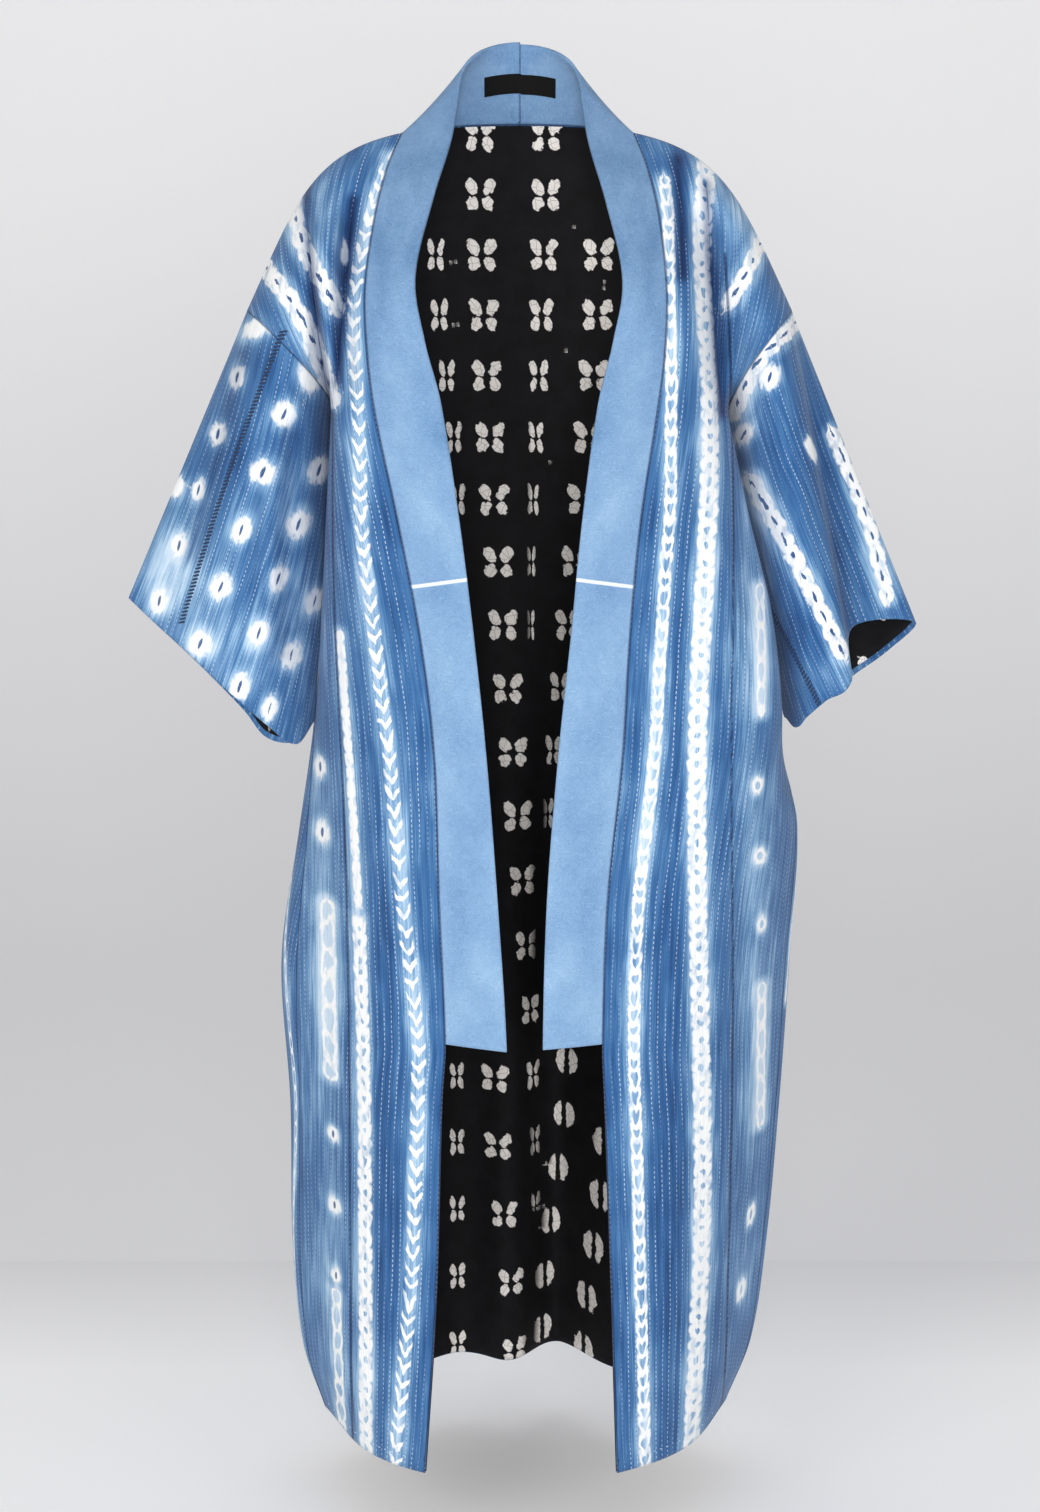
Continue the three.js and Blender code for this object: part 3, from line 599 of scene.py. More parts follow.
# x, height, half-width, half-height, tone: plus is paler and minus darker
PALE_CLOUDS = [
    (-182, 560, 20, 130, 0.30), (-180, 400, 18, 90, 0.20), (-180, 200, 20, 140, 0.22),
    (208, 800, 18, 190, 0.34), (214, 560, 22, 150, 0.24), (216, 300, 24, 170, 0.20),
    (203, 1150, 16, 34, 0.46), (-214, 1150, 18, 40, 0.30), (-176, 1140, 12, 50, 0.24),
    (-318, 812, 34, 40, 0.46), (-262, 752, 50, 38, 0.40), (-292, 842, 36, 50, 0.16),
    (-222, 800, 22, 60, 0.14), (-232, 1030, 26, 16, 0.25),
    (-205, 860, 20, 60, 0.14), (-246, 880, 18, 26, 0.18), (-190, 800, 14, 40, 0.20), (300, 720, 50, 18, 0.24),
    (226, 930, 16, 40, -0.16), (262, 950, 26, 40, -0.10), (-222, 1098, 10, 30, -0.22),
    (-250, 912, 10, 30, -0.20), (-200, 830, 10, 22, -0.20), (-262, 800, 14, 14, -0.16),
    (-118, 650, 13, 210, -0.16), (-126, 300, 12, 260, -0.12), (138, 620, 12, 260, -0.18),
    (136, 200, 12, 200, -0.12), (250, 760, 16, 40, -0.14), (-226, 800, 12, 70, -0.10),
    (285, 900, 20, 60, -0.10), (-226, 1000, 14, 40, -0.12),
]


def unmixed(index):
    """True where a vertex and its neighbours on the grid all take the same mark, so that no face
    blends the places of two marks."""
    same = np.ones(index.shape, bool)
    for axis in (0, 1):
        step = np.diff(index, axis=axis) != 0
        before = np.zeros(index.shape, bool)
        after = np.zeros(index.shape, bool)
        if axis == 0:
            before[1:], after[:-1] = step, step
        else:
            before[:, 1:], after[:, :-1] = step, step
        same &= ~(before | after)
    return same


def chain_facts(p, chains):
    """Each vertex takes its nearest chain: across it in half-widths (signed), along it in repeats,
    how near it is, and the chain's shape. Distances are to the straight pieces of the chain's line."""
    xz = p[..., [0, 2]].reshape(-1, 2)
    best = np.full(len(xz), 1e9)
    across, along = np.zeros(len(xz)), np.zeros(len(xz))
    half_width = np.ones(len(xz))
    shape = np.zeros((len(xz), 6))
    chosen = np.full(len(xz), -1)
    for index, (kind, half, repeat, line) in enumerate(chains):
        line = np.array(line, float)
        step = np.diff(line, axis=0)
        size = np.linalg.norm(step, axis=1)
        start = np.concatenate([[0], np.cumsum(size)[:-1]])
        rel = xz[:, None] - line[:-1]
        t = np.clip((rel * step).sum(-1) / size ** 2, 0, 1)
        off = rel - t[..., None] * step
        apart = np.linalg.norm(off, axis=-1)
        k = apart.argmin(1)
        row = np.arange(len(xz))
        side = np.sign(step[k, 0] * rel[row, k, 1] - step[k, 1] * rel[row, k, 0])
        near = apart[row, k]
        closer = near < best
        best = np.where(closer, near, best)
        across = np.where(closer, side * near / half, across)
        along = np.where(closer, (start[k] + t[row, k] * size[k]) / repeat, along)
        half_width = np.where(closer, half, half_width)
        chosen = np.where(closer, index, chosen)
        shape = np.where(closer[:, None], np.array(kind), shape)
    grid = p.shape[:2]
    on = (best < half_width * 1.2 + 1) & unmixed(half_width.reshape(grid)).ravel()
    on = (on & unmixed(chosen.reshape(grid)).ravel()).astype(float)
    halo = 1 - smooth(0.2, 9, best - half_width)
    folded = shape[:, 1] == PAIRS[1]
    filled = np.where(folded, 0, 1 - smooth(0.6, 1.2, best / half_width))
    return {"across": across.reshape(grid), "along": along.reshape(grid), "on": on.reshape(grid),
            "halo": halo.reshape(grid), "filled": filled.reshape(grid),
            "shape": shape.reshape(*grid, 6)}


def spot_facts(p, spots):
    """Each vertex takes its nearest spot: its place in the spot's own leaning axes, in half-sizes."""
    grid = p.shape[:2]
    local = np.full((*grid, 3), 9.0)
    best = np.full(grid, 1e9)
    chosen = np.full(grid, -1)
    halo = np.zeros(grid)
    for index, (x, height, half, long, lean, hole) in enumerate(spots):
        dx, dz = p[..., 0] - x, p[..., 2] - height
        c, s = math.cos(math.radians(lean)), math.sin(math.radians(lean))
        a, b = (dx * c - dz * s) / half, (dx * s + dz * c) / long
        r = np.hypot(a, b)
        closer = r < best
        best = np.where(closer, r, best)
        local = np.where(closer[..., None], np.stack([a, b, np.full(grid, hole)], -1), local)
        chosen = np.where(closer, index, chosen)
        halo = np.maximum(halo, 1 - smooth(0.7, 1.9, r))
    return {"local": local, "on": ((best < 1.7) & unmixed(chosen)).astype(float), "halo": halo}


def dye_facts(p, chains=(), spots=()):
    """The attributes that the indigo cloth's material reads."""
    grid = p.shape[:2]
    chain = chain_facts(p, chains) if chains else {
        "across": np.full(grid, 9.0), "along": np.zeros(grid), "on": np.zeros(grid),
        "halo": np.zeros(grid), "filled": np.zeros(grid), "shape": np.ones((*grid, 6))}
    spot = spot_facts(p, spots) if spots else {
        "local": np.full((*grid, 3), 9.0), "on": np.zeros(grid), "halo": np.zeros(grid)}
    tone = np.zeros(grid)
    for x, height, half, tall, amount in PALE_CLOUDS:
        r2 = ((p[..., 0] - x) / half) ** 2 + ((p[..., 2] - height) / tall) ** 2
        tone += amount * np.exp(-r2)
    tone += 0.30 * np.maximum(chain["halo"], spot["halo"]) + 0.18 * chain["filled"]
    shape = chain["shape"]
    return {
        "chain": np.stack([chain["across"], chain["along"], chain["on"]], -1),
        "chain_hole": shape[..., 0:3], "chain_body": shape[..., 3:6],
        "spot": spot["local"], "spot_on": spot["on"], "tone": tone,
    }


# ---- Materials ----
def linear(hex_colour):
    """sRGB hex to the linear colour that the shader takes."""
    s = np.array([int(hex_colour[i:i + 2], 16) for i in (1, 3, 5)]) / 255
    low = s <= 0.04045
    value = np.where(low, s / 12.92, ((s + 0.055) / 1.055) ** 2.4)
    return (*value.tolist(), 1.0)


def fill(made, *values, **named):
    """Fills a node's inputs, by place, by label, or as in6 by a place that has no label of its own.
    A socket or a node's first output is linked, and any other value is set. Returns the node."""
    for key, value in [*enumerate(values), *named.items()]:
        if isinstance(key, str):
            key = int(key[2:]) if key[:2] == "in" and key[2:].isdigit() else key.replace("_", " ")
        if isinstance(value, bpy.types.Node):
            value = value.outputs[0]
        if isinstance(value, bpy.types.NodeSocket):
            made.id_data.links.new(value, made.inputs[key])
        else:
            made.inputs[key].default_value = value
    return made


def node(tree, kind, settings=None, *values, **named):
    """Adds a node, sets its properties and fills its inputs. Returns the node."""
    made = tree.nodes.new(kind)
    for key, value in (settings or {}).items():
        setattr(made, key, value)
    return fill(made, *values, **named)


# Kinds of node, and settings for them.
MATH, VECTOR, MIX, RANGE, NOISE, RAMP, SPLIT, FACT, BUMP, PLACE = (
    "ShaderNode" + kind for kind in ("Math", "VectorMath", "Mix", "MapRange", "TexNoise", "ValToRGB",
                                     "SeparateXYZ", "Attribute", "Bump", "TexCoord"))
PLUS, MINUS, TIMES, OVER, TIMES_PLUS, SIZE, FRACTION, WHOLE, LARGER, SMALLER, NEAR, ABOVE, SCALED = (
    {"operation": name} for name in (
        "ADD", "SUBTRACT", "MULTIPLY", "DIVIDE", "MULTIPLY_ADD", "ABSOLUTE", "FRACT", "FLOOR",
        "MAXIMUM", "MINIMUM", "COMPARE", "GREATER_THAN", "SCALE"))
EASED = {"interpolation_type": "SMOOTHSTEP"}
FLAT = {"noise_dimensions": "2D"}
COLOUR = {"data_type": "RGBA"}
SHADED = {"data_type": "RGBA", "blend_type": "MULTIPLY"}


def new_material(name):
    """A material with its shader, and the node function with that material's tree filled in."""
    material = bpy.data.materials.new(name)
    material.use_nodes = True
    tree = material.node_tree
    tree.nodes.clear()
    shader = node(tree, "ShaderNodeBsdfPrincipled")
    node(tree, "ShaderNodeOutputMaterial", None, Surface=shader)
    return material, functools.partial(node, tree), shader


def cloth_millimetres(add):
    """Where a point lies on the flat cloth, in millimetres."""
    return add(VECTOR, SCALED, add("ShaderNodeUVMap", {"uv_map": "cloth"}), Scale=1000.0)


def fact(add, name):
    """One of the piece's own attributes as three numbers."""
    return add(SPLIT, None, add(FACT, {"attribute_name": name}).outputs["Vector"]).outputs


def oval(add, a, half_a, b, half_b):
    """(a / half_a)^2 + (b / half_b)^2, which is 1 on the oval's rim."""
    x = add(MATH, OVER, a, add(MATH, LARGER, half_a, 0.001))
    y = add(MATH, OVER, b, add(MATH, LARGER, half_b, 0.001))
    return add(MATH, PLUS, add(MATH, TIMES, x, x), add(MATH, TIMES, y, y))


def ramp_stops(made, stops):
    """Sets a colour ramp's stops from (place, hex)."""
    elements = made.color_ramp.elements
    while len(elements) < len(stops):
        elements.new(0.5)
    for element, (place, colour) in zip(elements, stops):
        element.position = place
        element.color = linear(colour)


def indigo_cloth():
    """Hand-spun cotton woven on a narrow loom and stitched before an indigo bath: streaky along
    the warp, matt, with white where the stitches kept the dye out and thread ends left in."""
    material, add, shader = new_material("indigo_strip_cotton")
    mm = cloth_millimetres(add)
    across_cloth, along_cloth = add(SPLIT, None, mm).outputs[:2]
    grain = {}
    for name, (per_u, per_v, detail) in {
            "broad": (0.16, 0.010, 3),       # warp streaks about 6 mm wide
            "fine": (0.75, 0.020, 3),        # single threads that took less dye, about 1.3 mm
            "bath": (0.012, 0.010, 3),       # uneven bath, about 80 mm
            "wobble": (0.11, 0.075, 2),      # marks that are uneven across, by hand
            "drift": (0.06, 0.045, 2),       # and along their row
            "ragged": (0.16, 0.12, 3),       # rims of the tied spots
            "soaked": (0.10, 0.06, 3),       # marks that took some dye
            "wander": (0.0, 0.006, 2),       # thread lines that run a little askew
            "worn": (0.118, 0.012, 2),       # thread lines that come and go
            "pucker": (0.11, 0.030, 3),      # soft puckers, about 9 mm
            "weft": (0.09, 0.8, 2)}.items():
        at = add(VECTOR, TIMES, mm, (per_u, per_v, 0))
        grain[name] = add(NOISE, FLAT, Vector=at, Scale=1.0, Detail=detail, Roughness=0.55)
    tone = add(MATH, TIMES_PLUS, grain["broad"], 0.58, -0.29)
    tone = add(MATH, TIMES_PLUS, grain["fine"], 0.60, add(MATH, PLUS, tone, -0.30))
    tone = add(MATH, TIMES_PLUS, grain["bath"], 0.62, add(MATH, PLUS, tone, 0.03))
    # The tone attribute holds the dye's paler and darker clouds and the pale rims round the marks. On the
    # fronts it also holds painted shade in the drape's valleys.
    tone = add(MATH, PLUS, tone, add(FACT, {"attribute_name": "tone"}).outputs["Fac"])
    blue = add(RAMP, None, tone)
    ramp_stops(blue, [(0.0, "#1D4474"), (0.24, "#2C5A8E"), (0.45, "#426F9F"), (0.66, "#7098BE"),
                      (0.85, "#A2BFD9"), (1.0, "#C2D5E6")])

    # Chains of marks: white inside the body's oval and outside the hole's, both on a phase that
    # leans back with the distance from the chain's middle.
    side, run, on_chain = fact(add, "chain")
    slope, hole_half, hole_tall = fact(add, "chain_hole")
    body_centre, body_half, body_tall = fact(add, "chain_body")
    apart = add(MATH, TIMES_PLUS, grain["wobble"], 0.5, add(MATH, PLUS, side, -0.25))
    apart = add(MATH, SIZE, apart)
    run = add(MATH, TIMES_PLUS, grain["drift"], 1.0, run)
    phase = add(MATH, FRACTION, add(MATH, TIMES_PLUS, apart, slope, run))
    phase = add(MATH, MINUS, phase, 0.5)
    body = oval(add, add(MATH, MINUS, apart, body_centre), body_half, phase, body_tall)
    in_body = add(RANGE, EASED, body, 0.62, 1.22, 1.0, 0.0)
    in_edge = add(RANGE, EASED, apart, 0.80, 1.10, 1.0, 0.0)
    hole = oval(add, apart, hole_half, phase, hole_tall)
    in_hole = add(RANGE, EASED, hole, 0.6, 1.25, 1.0, 0.0)
    white = add(MATH, TIMES, add(MATH, TIMES, in_body, in_edge), add(MATH, MINUS, 1.0, in_hole))
    kept = add(RANGE, EASED, grain["soaked"], 0.30, 0.50, 0.55, 1.0)
    white = add(MATH, TIMES, add(MATH, TIMES, white, on_chain), kept)

    # Single stitched spots, with a dark slit where the cloth was folded.
    spot_side, spot_up, slit_half = fact(add, "spot")
    spot_on = add(FACT, {"attribute_name": "spot_on"}).outputs["Fac"]
    rim_side = add(MATH, TIMES_PLUS, grain["wobble"], 0.5, add(MATH, PLUS, spot_side, -0.25))
    rim_up = add(MATH, TIMES_PLUS, grain["ragged"], 1.1, add(MATH, PLUS, spot_up, -0.55))
    in_spot = add(RANGE, EASED, oval(add, rim_side, 1.02, rim_up, 0.98), 0.30, 1.25, 1.0, 0.0)
    slit_side = add(MATH, TIMES_PLUS, grain["wobble"], 0.2, add(MATH, PLUS, spot_side, -0.1))
    slit = oval(add, slit_side, add(MATH, TIMES, slit_half, 0.85), spot_up, 0.46)
    in_slit = add(RANGE, EASED, slit, 0.5, 1.3, 1.0, 0.0)
    spot_white = add(MATH, TIMES, add(MATH, TIMES, in_spot, spot_on), add(MATH, MINUS, 1.0, in_slit))
    white = add(MATH, LARGER, white, spot_white)

    # The folded cloth inside a narrow hole or slit is a deeper blue.
    narrow_hole = add(MATH, NEAR, hole_half, 0.13, 0.06)
    folded = add(MATH, TIMES, add(MATH, TIMES, in_hole, narrow_hole), on_chain)
    narrow_slit = add(MATH, NEAR, slit_half, 0.18, 0.1)
    in_fold = add(MATH, TIMES, add(MATH, TIMES, in_slit, spot_on), narrow_slit)
    folded = add(MATH, LARGER, folded, in_fold)

    # Lines of thin pale thread along the warp, about 7.6 mm apart, broken into dashes of 4.6 mm.
    line = add(MATH, TIMES_PLUS, grain["wander"], 0.9, add(MATH, OVER, across_cloth, 7.6))
    from_line = add(MATH, SIZE, add(MATH, MINUS, add(MATH, FRACTION, line), 0.5))
    on_line = add(RANGE, EASED, from_line, 0.035, 0.085, 1.0, 0.0)
    which = add("ShaderNodeTexWhiteNoise", {"noise_dimensions": "1D"}, W=add(MATH, WHOLE, line))
    dash = add(MATH, PLUS, add(MATH, OVER, along_cloth, 4.6), add(MATH, TIMES, which, 9.0))
    on_dash = add(RANGE, EASED, add(MATH, FRACTION, dash), 0.50, 0.62, 1.0, 0.0)
    shown = add(RANGE, EASED, grain["worn"], 0.34, 0.52, 0.05, 0.62)
    threads = add(MATH, TIMES, add(MATH, TIMES, on_line, on_dash), shown)
    threads = add(MATH, TIMES, threads, add(MATH, TIMES_PLUS, which, 0.8, 0.3))

    deep = add(MIX, COLOUR, add(MATH, TIMES, folded, 0.85), in6=blue, in7=linear("#24467C"))
    dyed = add(MIX, COLOUR, threads, in6=deep.outputs[2], in7=linear("#CCDAE8"))
    undyed = add(MIX, COLOUR, grain["fine"], in6=linear("#F4F3F0"), in7=linear("#E4E8EC"))
    colour = add(MIX, COLOUR, white, in6=dyed.outputs[2], in7=undyed.outputs[2])

    # Turned edges, seams and valleys lie in their own shadow.
    seam = add(FACT, {"attribute_name": "seam"}).outputs["Fac"]
    dark = add(RANGE, EASED, seam, 0.5, 1.9, 1.0, 0.0)
    colour = add(MIX, SHADED, add(MATH, TIMES, dark, 0.75), in6=colour.outputs[2],
                 in7=linear("#35557F"))
    shadow = add(FACT, {"attribute_name": "shadow"}).outputs["Fac"]
    colour = add(MIX, SHADED, add(MATH, TIMES, shadow, 0.8), in6=colour.outputs[2],
                 in7=linear("#6C82A4"))

    # Relief: warp ribs 1.3 mm wide (the real threads are about 0.6 mm) and soft puckers.
    relief = add(MATH, TIMES_PLUS, grain["fine"], 0.35, add(MATH, TIMES, grain["pucker"], 1.2))
    relief = add(MATH, TIMES_PLUS, grain["weft"], 0.18, relief)
    relief = add(MATH, TIMES_PLUS, dark, -0.5, relief)
    relief = add(MATH, TIMES_PLUS, threads, 0.25, relief)
    bump = add(BUMP, None, Strength=0.55, Distance=0.0016, Height=relief)
    fill(shader, Base_Color=colour.outputs[2], Normal=bump, Roughness=0.88, Specular_IOR_Level=0.25,
         Sheen_Weight=0.12, Sheen_Roughness=0.5)
    return material


def chambray():
    """Light blue chambray, piece-dyed and washed: an even pale weave with a fine crinkle, matt."""
    material, add, shader = new_material("washed_blue_chambray")
    mm = cloth_millimetres(add)
    grain = {}
    for name, (per_u, per_v, detail, twist) in {
            "cloud": (0.020, 0.012, 3, 0.0),        # washed shading, about 60 mm
            "crinkle": (0.30, 0.42, 3, 1.4),        # wavy crinkle, about 2.5 mm
            "weave": (1.1, 1.5, 1, 0.0)}.items():   # slub of the threads, under 1 mm
        at = add(VECTOR, TIMES, mm, (per_u, per_v, 0))
        grain[name] = add(NOISE, FLAT, Vector=at, Scale=1.0, Detail=detail, Distortion=twist)
    tone = add(MATH, TIMES_PLUS, grain["cloud"], 0.9, 0.02)
    tone = add(MATH, TIMES_PLUS, grain["crinkle"], 0.50, tone)
    tone = add(MATH, TIMES_PLUS, grain["weave"], 0.30, tone)
    along = add(SPLIT, None, mm).outputs[1]
    # Darker further along the band, towards the neck.
    worn = add(RANGE, EASED, along, 250.0, 760.0, -0.18, -0.44)    # paler near the lower ends
    blue = add(RAMP, None, add(MATH, PLUS, tone, worn))
    ramp_stops(blue, [(0.25, "#5F86B0"), (0.50, "#789CC4"), (0.75, "#88ABCF"), (1.0, "#9DBCDA")])
    from_join = add(MATH, SIZE, add(FACT, {"attribute_name": "join"}).outputs["Fac"])
    on_join = add(RANGE, EASED, from_join, 1.0, 2.2, 1.0, 0.0)
    pale = add(MIX, COLOUR, on_join, in6=blue, in7=linear("#E4EDF8"))
    # Painted shade: the band is darkened along its seam, along its stitching and at the centre back join.
    seam = add(FACT, {"attribute_name": "seam"}).outputs["Fac"]
    dark = add(RANGE, EASED, seam, 0.3, 1.6, 0.7, 0.0)
    colour = add(MIX, SHADED, dark, in6=pale.outputs[2], in7=linear("#4B6C98"))
    relief = add(MATH, TIMES_PLUS, grain["weave"], 0.25, grain["crinkle"])
    relief = add(MATH, TIMES_PLUS, on_join, 0.5, relief)
    bump = add(BUMP, None, Strength=0.7, Distance=0.0016, Height=relief)
    fill(shader, Base_Color=colour.outputs[2], Normal=bump, Roughness=0.86, Specular_IOR_Level=0.25,
         Sheen_Weight=0.10)
    return material


def black_cotton():
    """Black cotton lining with flowers kept white by tied resist, cracked by fine dark lines."""
    material, add, shader = new_material("black_resist_cotton")
    mm = cloth_millimetres(add)
    ripple = add(NOISE, FLAT, Vector=mm, Scale=0.16, Detail=2.0)
    side, up, on_flower = fact(add, "flower")

    # Two wings side by side. Each has a large upper lobe that leans out and a smaller lower one.
    uneven = add(MATH, TIMES_PLUS, ripple, 0.36, -0.18)
    x = add(MATH, SIZE, add(MATH, PLUS, side, uneven))
    y = add(MATH, MINUS, up, uneven)
    upper, lower = add(MATH, MINUS, y, 0.46), add(MATH, PLUS, y, 0.50)
    upper_side = add(MATH, MINUS, add(MATH, TIMES_PLUS, upper, -0.28, x), 0.54)
    lower_side = add(MATH, MINUS, add(MATH, TIMES_PLUS, lower, 0.15, x), 0.50)
    wings = add(MATH, SMALLER, oval(add, upper_side, 0.38, upper, 0.47),
                oval(add, lower_side, 0.36, lower, 0.41))

    # Other flowers are two beans that bend towards each other.
    bent = add(MATH, TIMES_PLUS, add(MATH, TIMES, y, y), 0.26, x)
    beans = oval(add, add(MATH, MINUS, bent, 0.62), 0.40, y, 0.98)
    bean = add(FACT, {"attribute_name": "flower_bean"}).outputs["Fac"]
    form = add(MATH, PLUS, add(MATH, TIMES, wings, add(MATH, MINUS, 1.0, bean)),
               add(MATH, TIMES, beans, bean))
    petal = add(MATH, TIMES, add(RANGE, EASED, form, 0.84, 1.10, 1.0, 0.0), on_flower)
    cracks = add("ShaderNodeTexVoronoi", {"voronoi_dimensions": "2D", "feature": "DISTANCE_TO_EDGE"},
                 Vector=mm, Scale=0.13, Randomness=1.0)
    crack = add(MATH, TIMES, add(RANGE, EASED, cracks, 0.005, 0.045, 1.0, 0.0), 0.6)
    shade = add(NOISE, FLAT, Vector=mm, Scale=0.05, Detail=2.0)
    white = add(MIX, COLOUR, shade, in6=linear("#E8E2DC"), in7=linear("#FFFBF6"))
    white = add(MIX, COLOUR, crack, in6=white.outputs[2], in7=linear("#3A3433"))
    black = add(MIX, COLOUR, shade, in6=linear("#0A090B"), in7=linear("#18161A"))
    colour = add(MIX, COLOUR, petal, in6=black.outputs[2], in7=white.outputs[2])
    weave = add(NOISE, FLAT, Vector=mm, Scale=0.9, Detail=2.0)
    bump = add(BUMP, None, Strength=0.25, Distance=0.0008, Height=weave)
    fill(shader, Base_Color=colour.outputs[2], Normal=bump, Roughness=0.8, Specular_IOR_Level=0.2)
    return material


def thread(name, light, dark):
    """Cotton sewing thread, twisted: matt with a slightly uneven dye."""
    material, add, shader = new_material(name)
    twist = add(NOISE, None, Vector=add(PLACE).outputs["Object"], Scale=600.0, Detail=1.0)
    mixed = add(MIX, COLOUR, twist, in6=linear(light), in7=linear(dark))
    fill(shader, Base_Color=mixed.outputs[2], Roughness=0.7)
    return material


def label_tape():
    """Plain woven black label tape: a fine cross rib that catches a little light."""
    material, add, shader = new_material("black_woven_tape")
    ribs = add("ShaderNodeTexWave", {"bands_direction": "Z"}, Vector=add(PLACE).outputs["Object"],
               Scale=420.0, Distortion=1.0, Detail=1.0).outputs["Fac"]
    colour = add(MIX, COLOUR, ribs, in6=linear("#030304"), in7=linear("#0A0A0C"))
    bump = add(BUMP, None, Strength=0.3, Distance=0.0004, Height=ribs)
    fill(shader, Base_Color=colour.outputs[2], Normal=bump, Roughness=0.8, Specular_IOR_Level=0.2)
    return material


INDIGO, CHAMBRAY, BLACK = indigo_cloth(), chambray(), black_cotton()
NAVY_THREAD = thread("navy_cotton_thread", "#14213C", "#22365E")
PALE_THREAD = thread("pale_cotton_thread", "#E6EBF2", "#B9CBE2")
TAPE = label_tape()


# ---- The panels ----
def cloth_uv(p, middle=None):
    """Millimetres across from the first column (or from a middle one) and up from the first row."""
    u = lengths(p, 1)
    if middle is not None:
        u = u - u[:, middle:middle + 1]
    return np.stack([u, lengths(p, 0)], -1)


def warp_uv(p, underarm_row):
    """As cloth_uv in the skirt. Above the underarm the warp threads follow the columns."""
    uv = cloth_uv(p)
    up = np.arange(p.shape[0])[:, None] > underarm_row
    held = np.broadcast_to(uv[underarm_row, :, 0], uv.shape[:2])
    widen = uv[-1, -1, 0] / held[0, -1]
    share = smooth(underarm_row, p.shape[0] - 1, np.arange(p.shape[0]))[:, None]
    uv[..., 0] = np.where(up, held * mix(1, widen, 0.6 * share), uv[..., 0])
    return uv


def distance_to_lines(p, lines):
    """Distance in front view from each vertex to the nearest of several lines of (x, height)."""
    xz = p[..., [0, 2]].reshape(-1, 2)
    best = np.full(len(xz), 99.0)
    for line in lines:
        line = np.array(line, float)
        step = np.diff(line, axis=0)
        rel = xz[:, None] - line[:-1]
        t = np.clip((rel * step).sum(-1) / (step ** 2).sum(-1), 0, 1)
        best = np.minimum(best, np.linalg.norm(rel - t[..., None] * step, axis=-1).min(1))
    return best.reshape(p.shape[:2])


def shoulder_valleys(sign):
    """The middle stretch of each deep narrow crease that starts on one side's shoulder."""
    ends = [np.array(((x1, z1), (x2, z2)), float) for _, x1, z1, x2, z2, _, _, depth in FINE_CREASES
            if depth < -4 and z1 > 1100 and x1 * sign > 0]
    return [[mix(high, low, 0.1), mix(high, low, 0.8)] for high, low in ends]


# Joins of the narrow strips, seen from the front.
RIGHT_STRIP_SEAM = course((-168, 958), (-168, 800), (-158, 520), (-157, 0))
LEFT_STRIP_SEAM = course((184, 1100), (192, 960), (190, 660), (196, 400), (195, 0))
# Valleys of the drape that lie in their own shadow, painted in as shade: half-width, and how much darker the
# painted shade makes the blue.
VALLEY_HALF, VALLEY_SHADE = 6.0, 0.30
SLEEVE_VALLEY_HALF, SLEEVE_VALLEY_SHADE = 1.4 * VALLEY_HALF, 0.6
SLEEVE_VALLEYS = [[(258, 1035), (284, 905), (304, 752)], [(-252, 1010), (-270, 930), (-300, 830)],
                  [(-206, 940), (-216, 860), (-220, 740)]]


def seam_fact(p, lines):
    """Distance to the neckband seam, the strip joins and the hem's stitching, where the cloth's material
    paints thin lines of shade.
    """
    from_edge = np.minimum(lengths(p, 1), np.abs(lengths(p, 0) - HEM_STITCH) + 0.9)
    return np.minimum(from_edge, distance_to_lines(p, lines))


def panel(name, p, uv, flipped, thickness, material, node_name,
          wraps=False, facts=None):
    """A dressed sheet in place of its solid."""
    piece = cloth(name, p, uv, flipped, thickness, wraps, facts)
    piece.data.materials.append(material)
    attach(piece, "root")
    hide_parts(node_name)
    return piece


def flower_facts(p, flowers):
    """Each vertex takes its nearest flower: its place in the flower's half-sizes, whether it is
    near one, and whether that one is a pair of beans."""
    grid = p.shape[:2]
    x, z = p[..., 0].ravel(), p[..., 2].ravel()
    flowers = np.array(flowers, float)
    a = (x[:, None] - flowers[:, 0]) / flowers[:, 2]
    b = (z[:, None] - flowers[:, 1]) / flowers[:, 3]
    far = np.maximum(np.abs(a), np.abs(b))
    k = far.argmin(1)
    row = np.arange(len(x))
    on = (far[row, k] < 1.6) & unmixed(k.reshape(grid)).ravel()
    return {"flower": np.stack([a[row, k], b[row, k], on], -1).reshape(*grid, 3),
            "flower_bean": flowers[k, 4].reshape(grid)}


def scattered(columns, heights, shift=0.0):
    """Flowers of one size in columns, every second column shifted."""
    return [(x + 2 * math.sin(i * 2.3 + j), z + shift * (i % 2), 14.0, 15.5, 0)
            for i, x in enumerate(columns) for j, z in enumerate(heights)]


def behind(p, flipped, depth=SHELL + GAP, wraps=False):
    """The grid moved in along its normals."""
    return p - outward(p, flipped, wraps) * depth


def flower_column(heights, foot, top, half_foot, half_top, ease=1.0, tall=16.0, bean=0):
    """Flowers at some heights: x eases from foot to top, and so does the half-width up to a share."""
    heights = np.array(heights, float)
    share = (heights - heights.min()) / np.ptp(heights)
    across = mix(foot, top, smooth(0, 1, share))
    half = mix(half_foot, half_top, smooth(0, ease, share))
    return [(x, height, wide, tall, bean) for x, height, wide in zip(across, heights, half)]


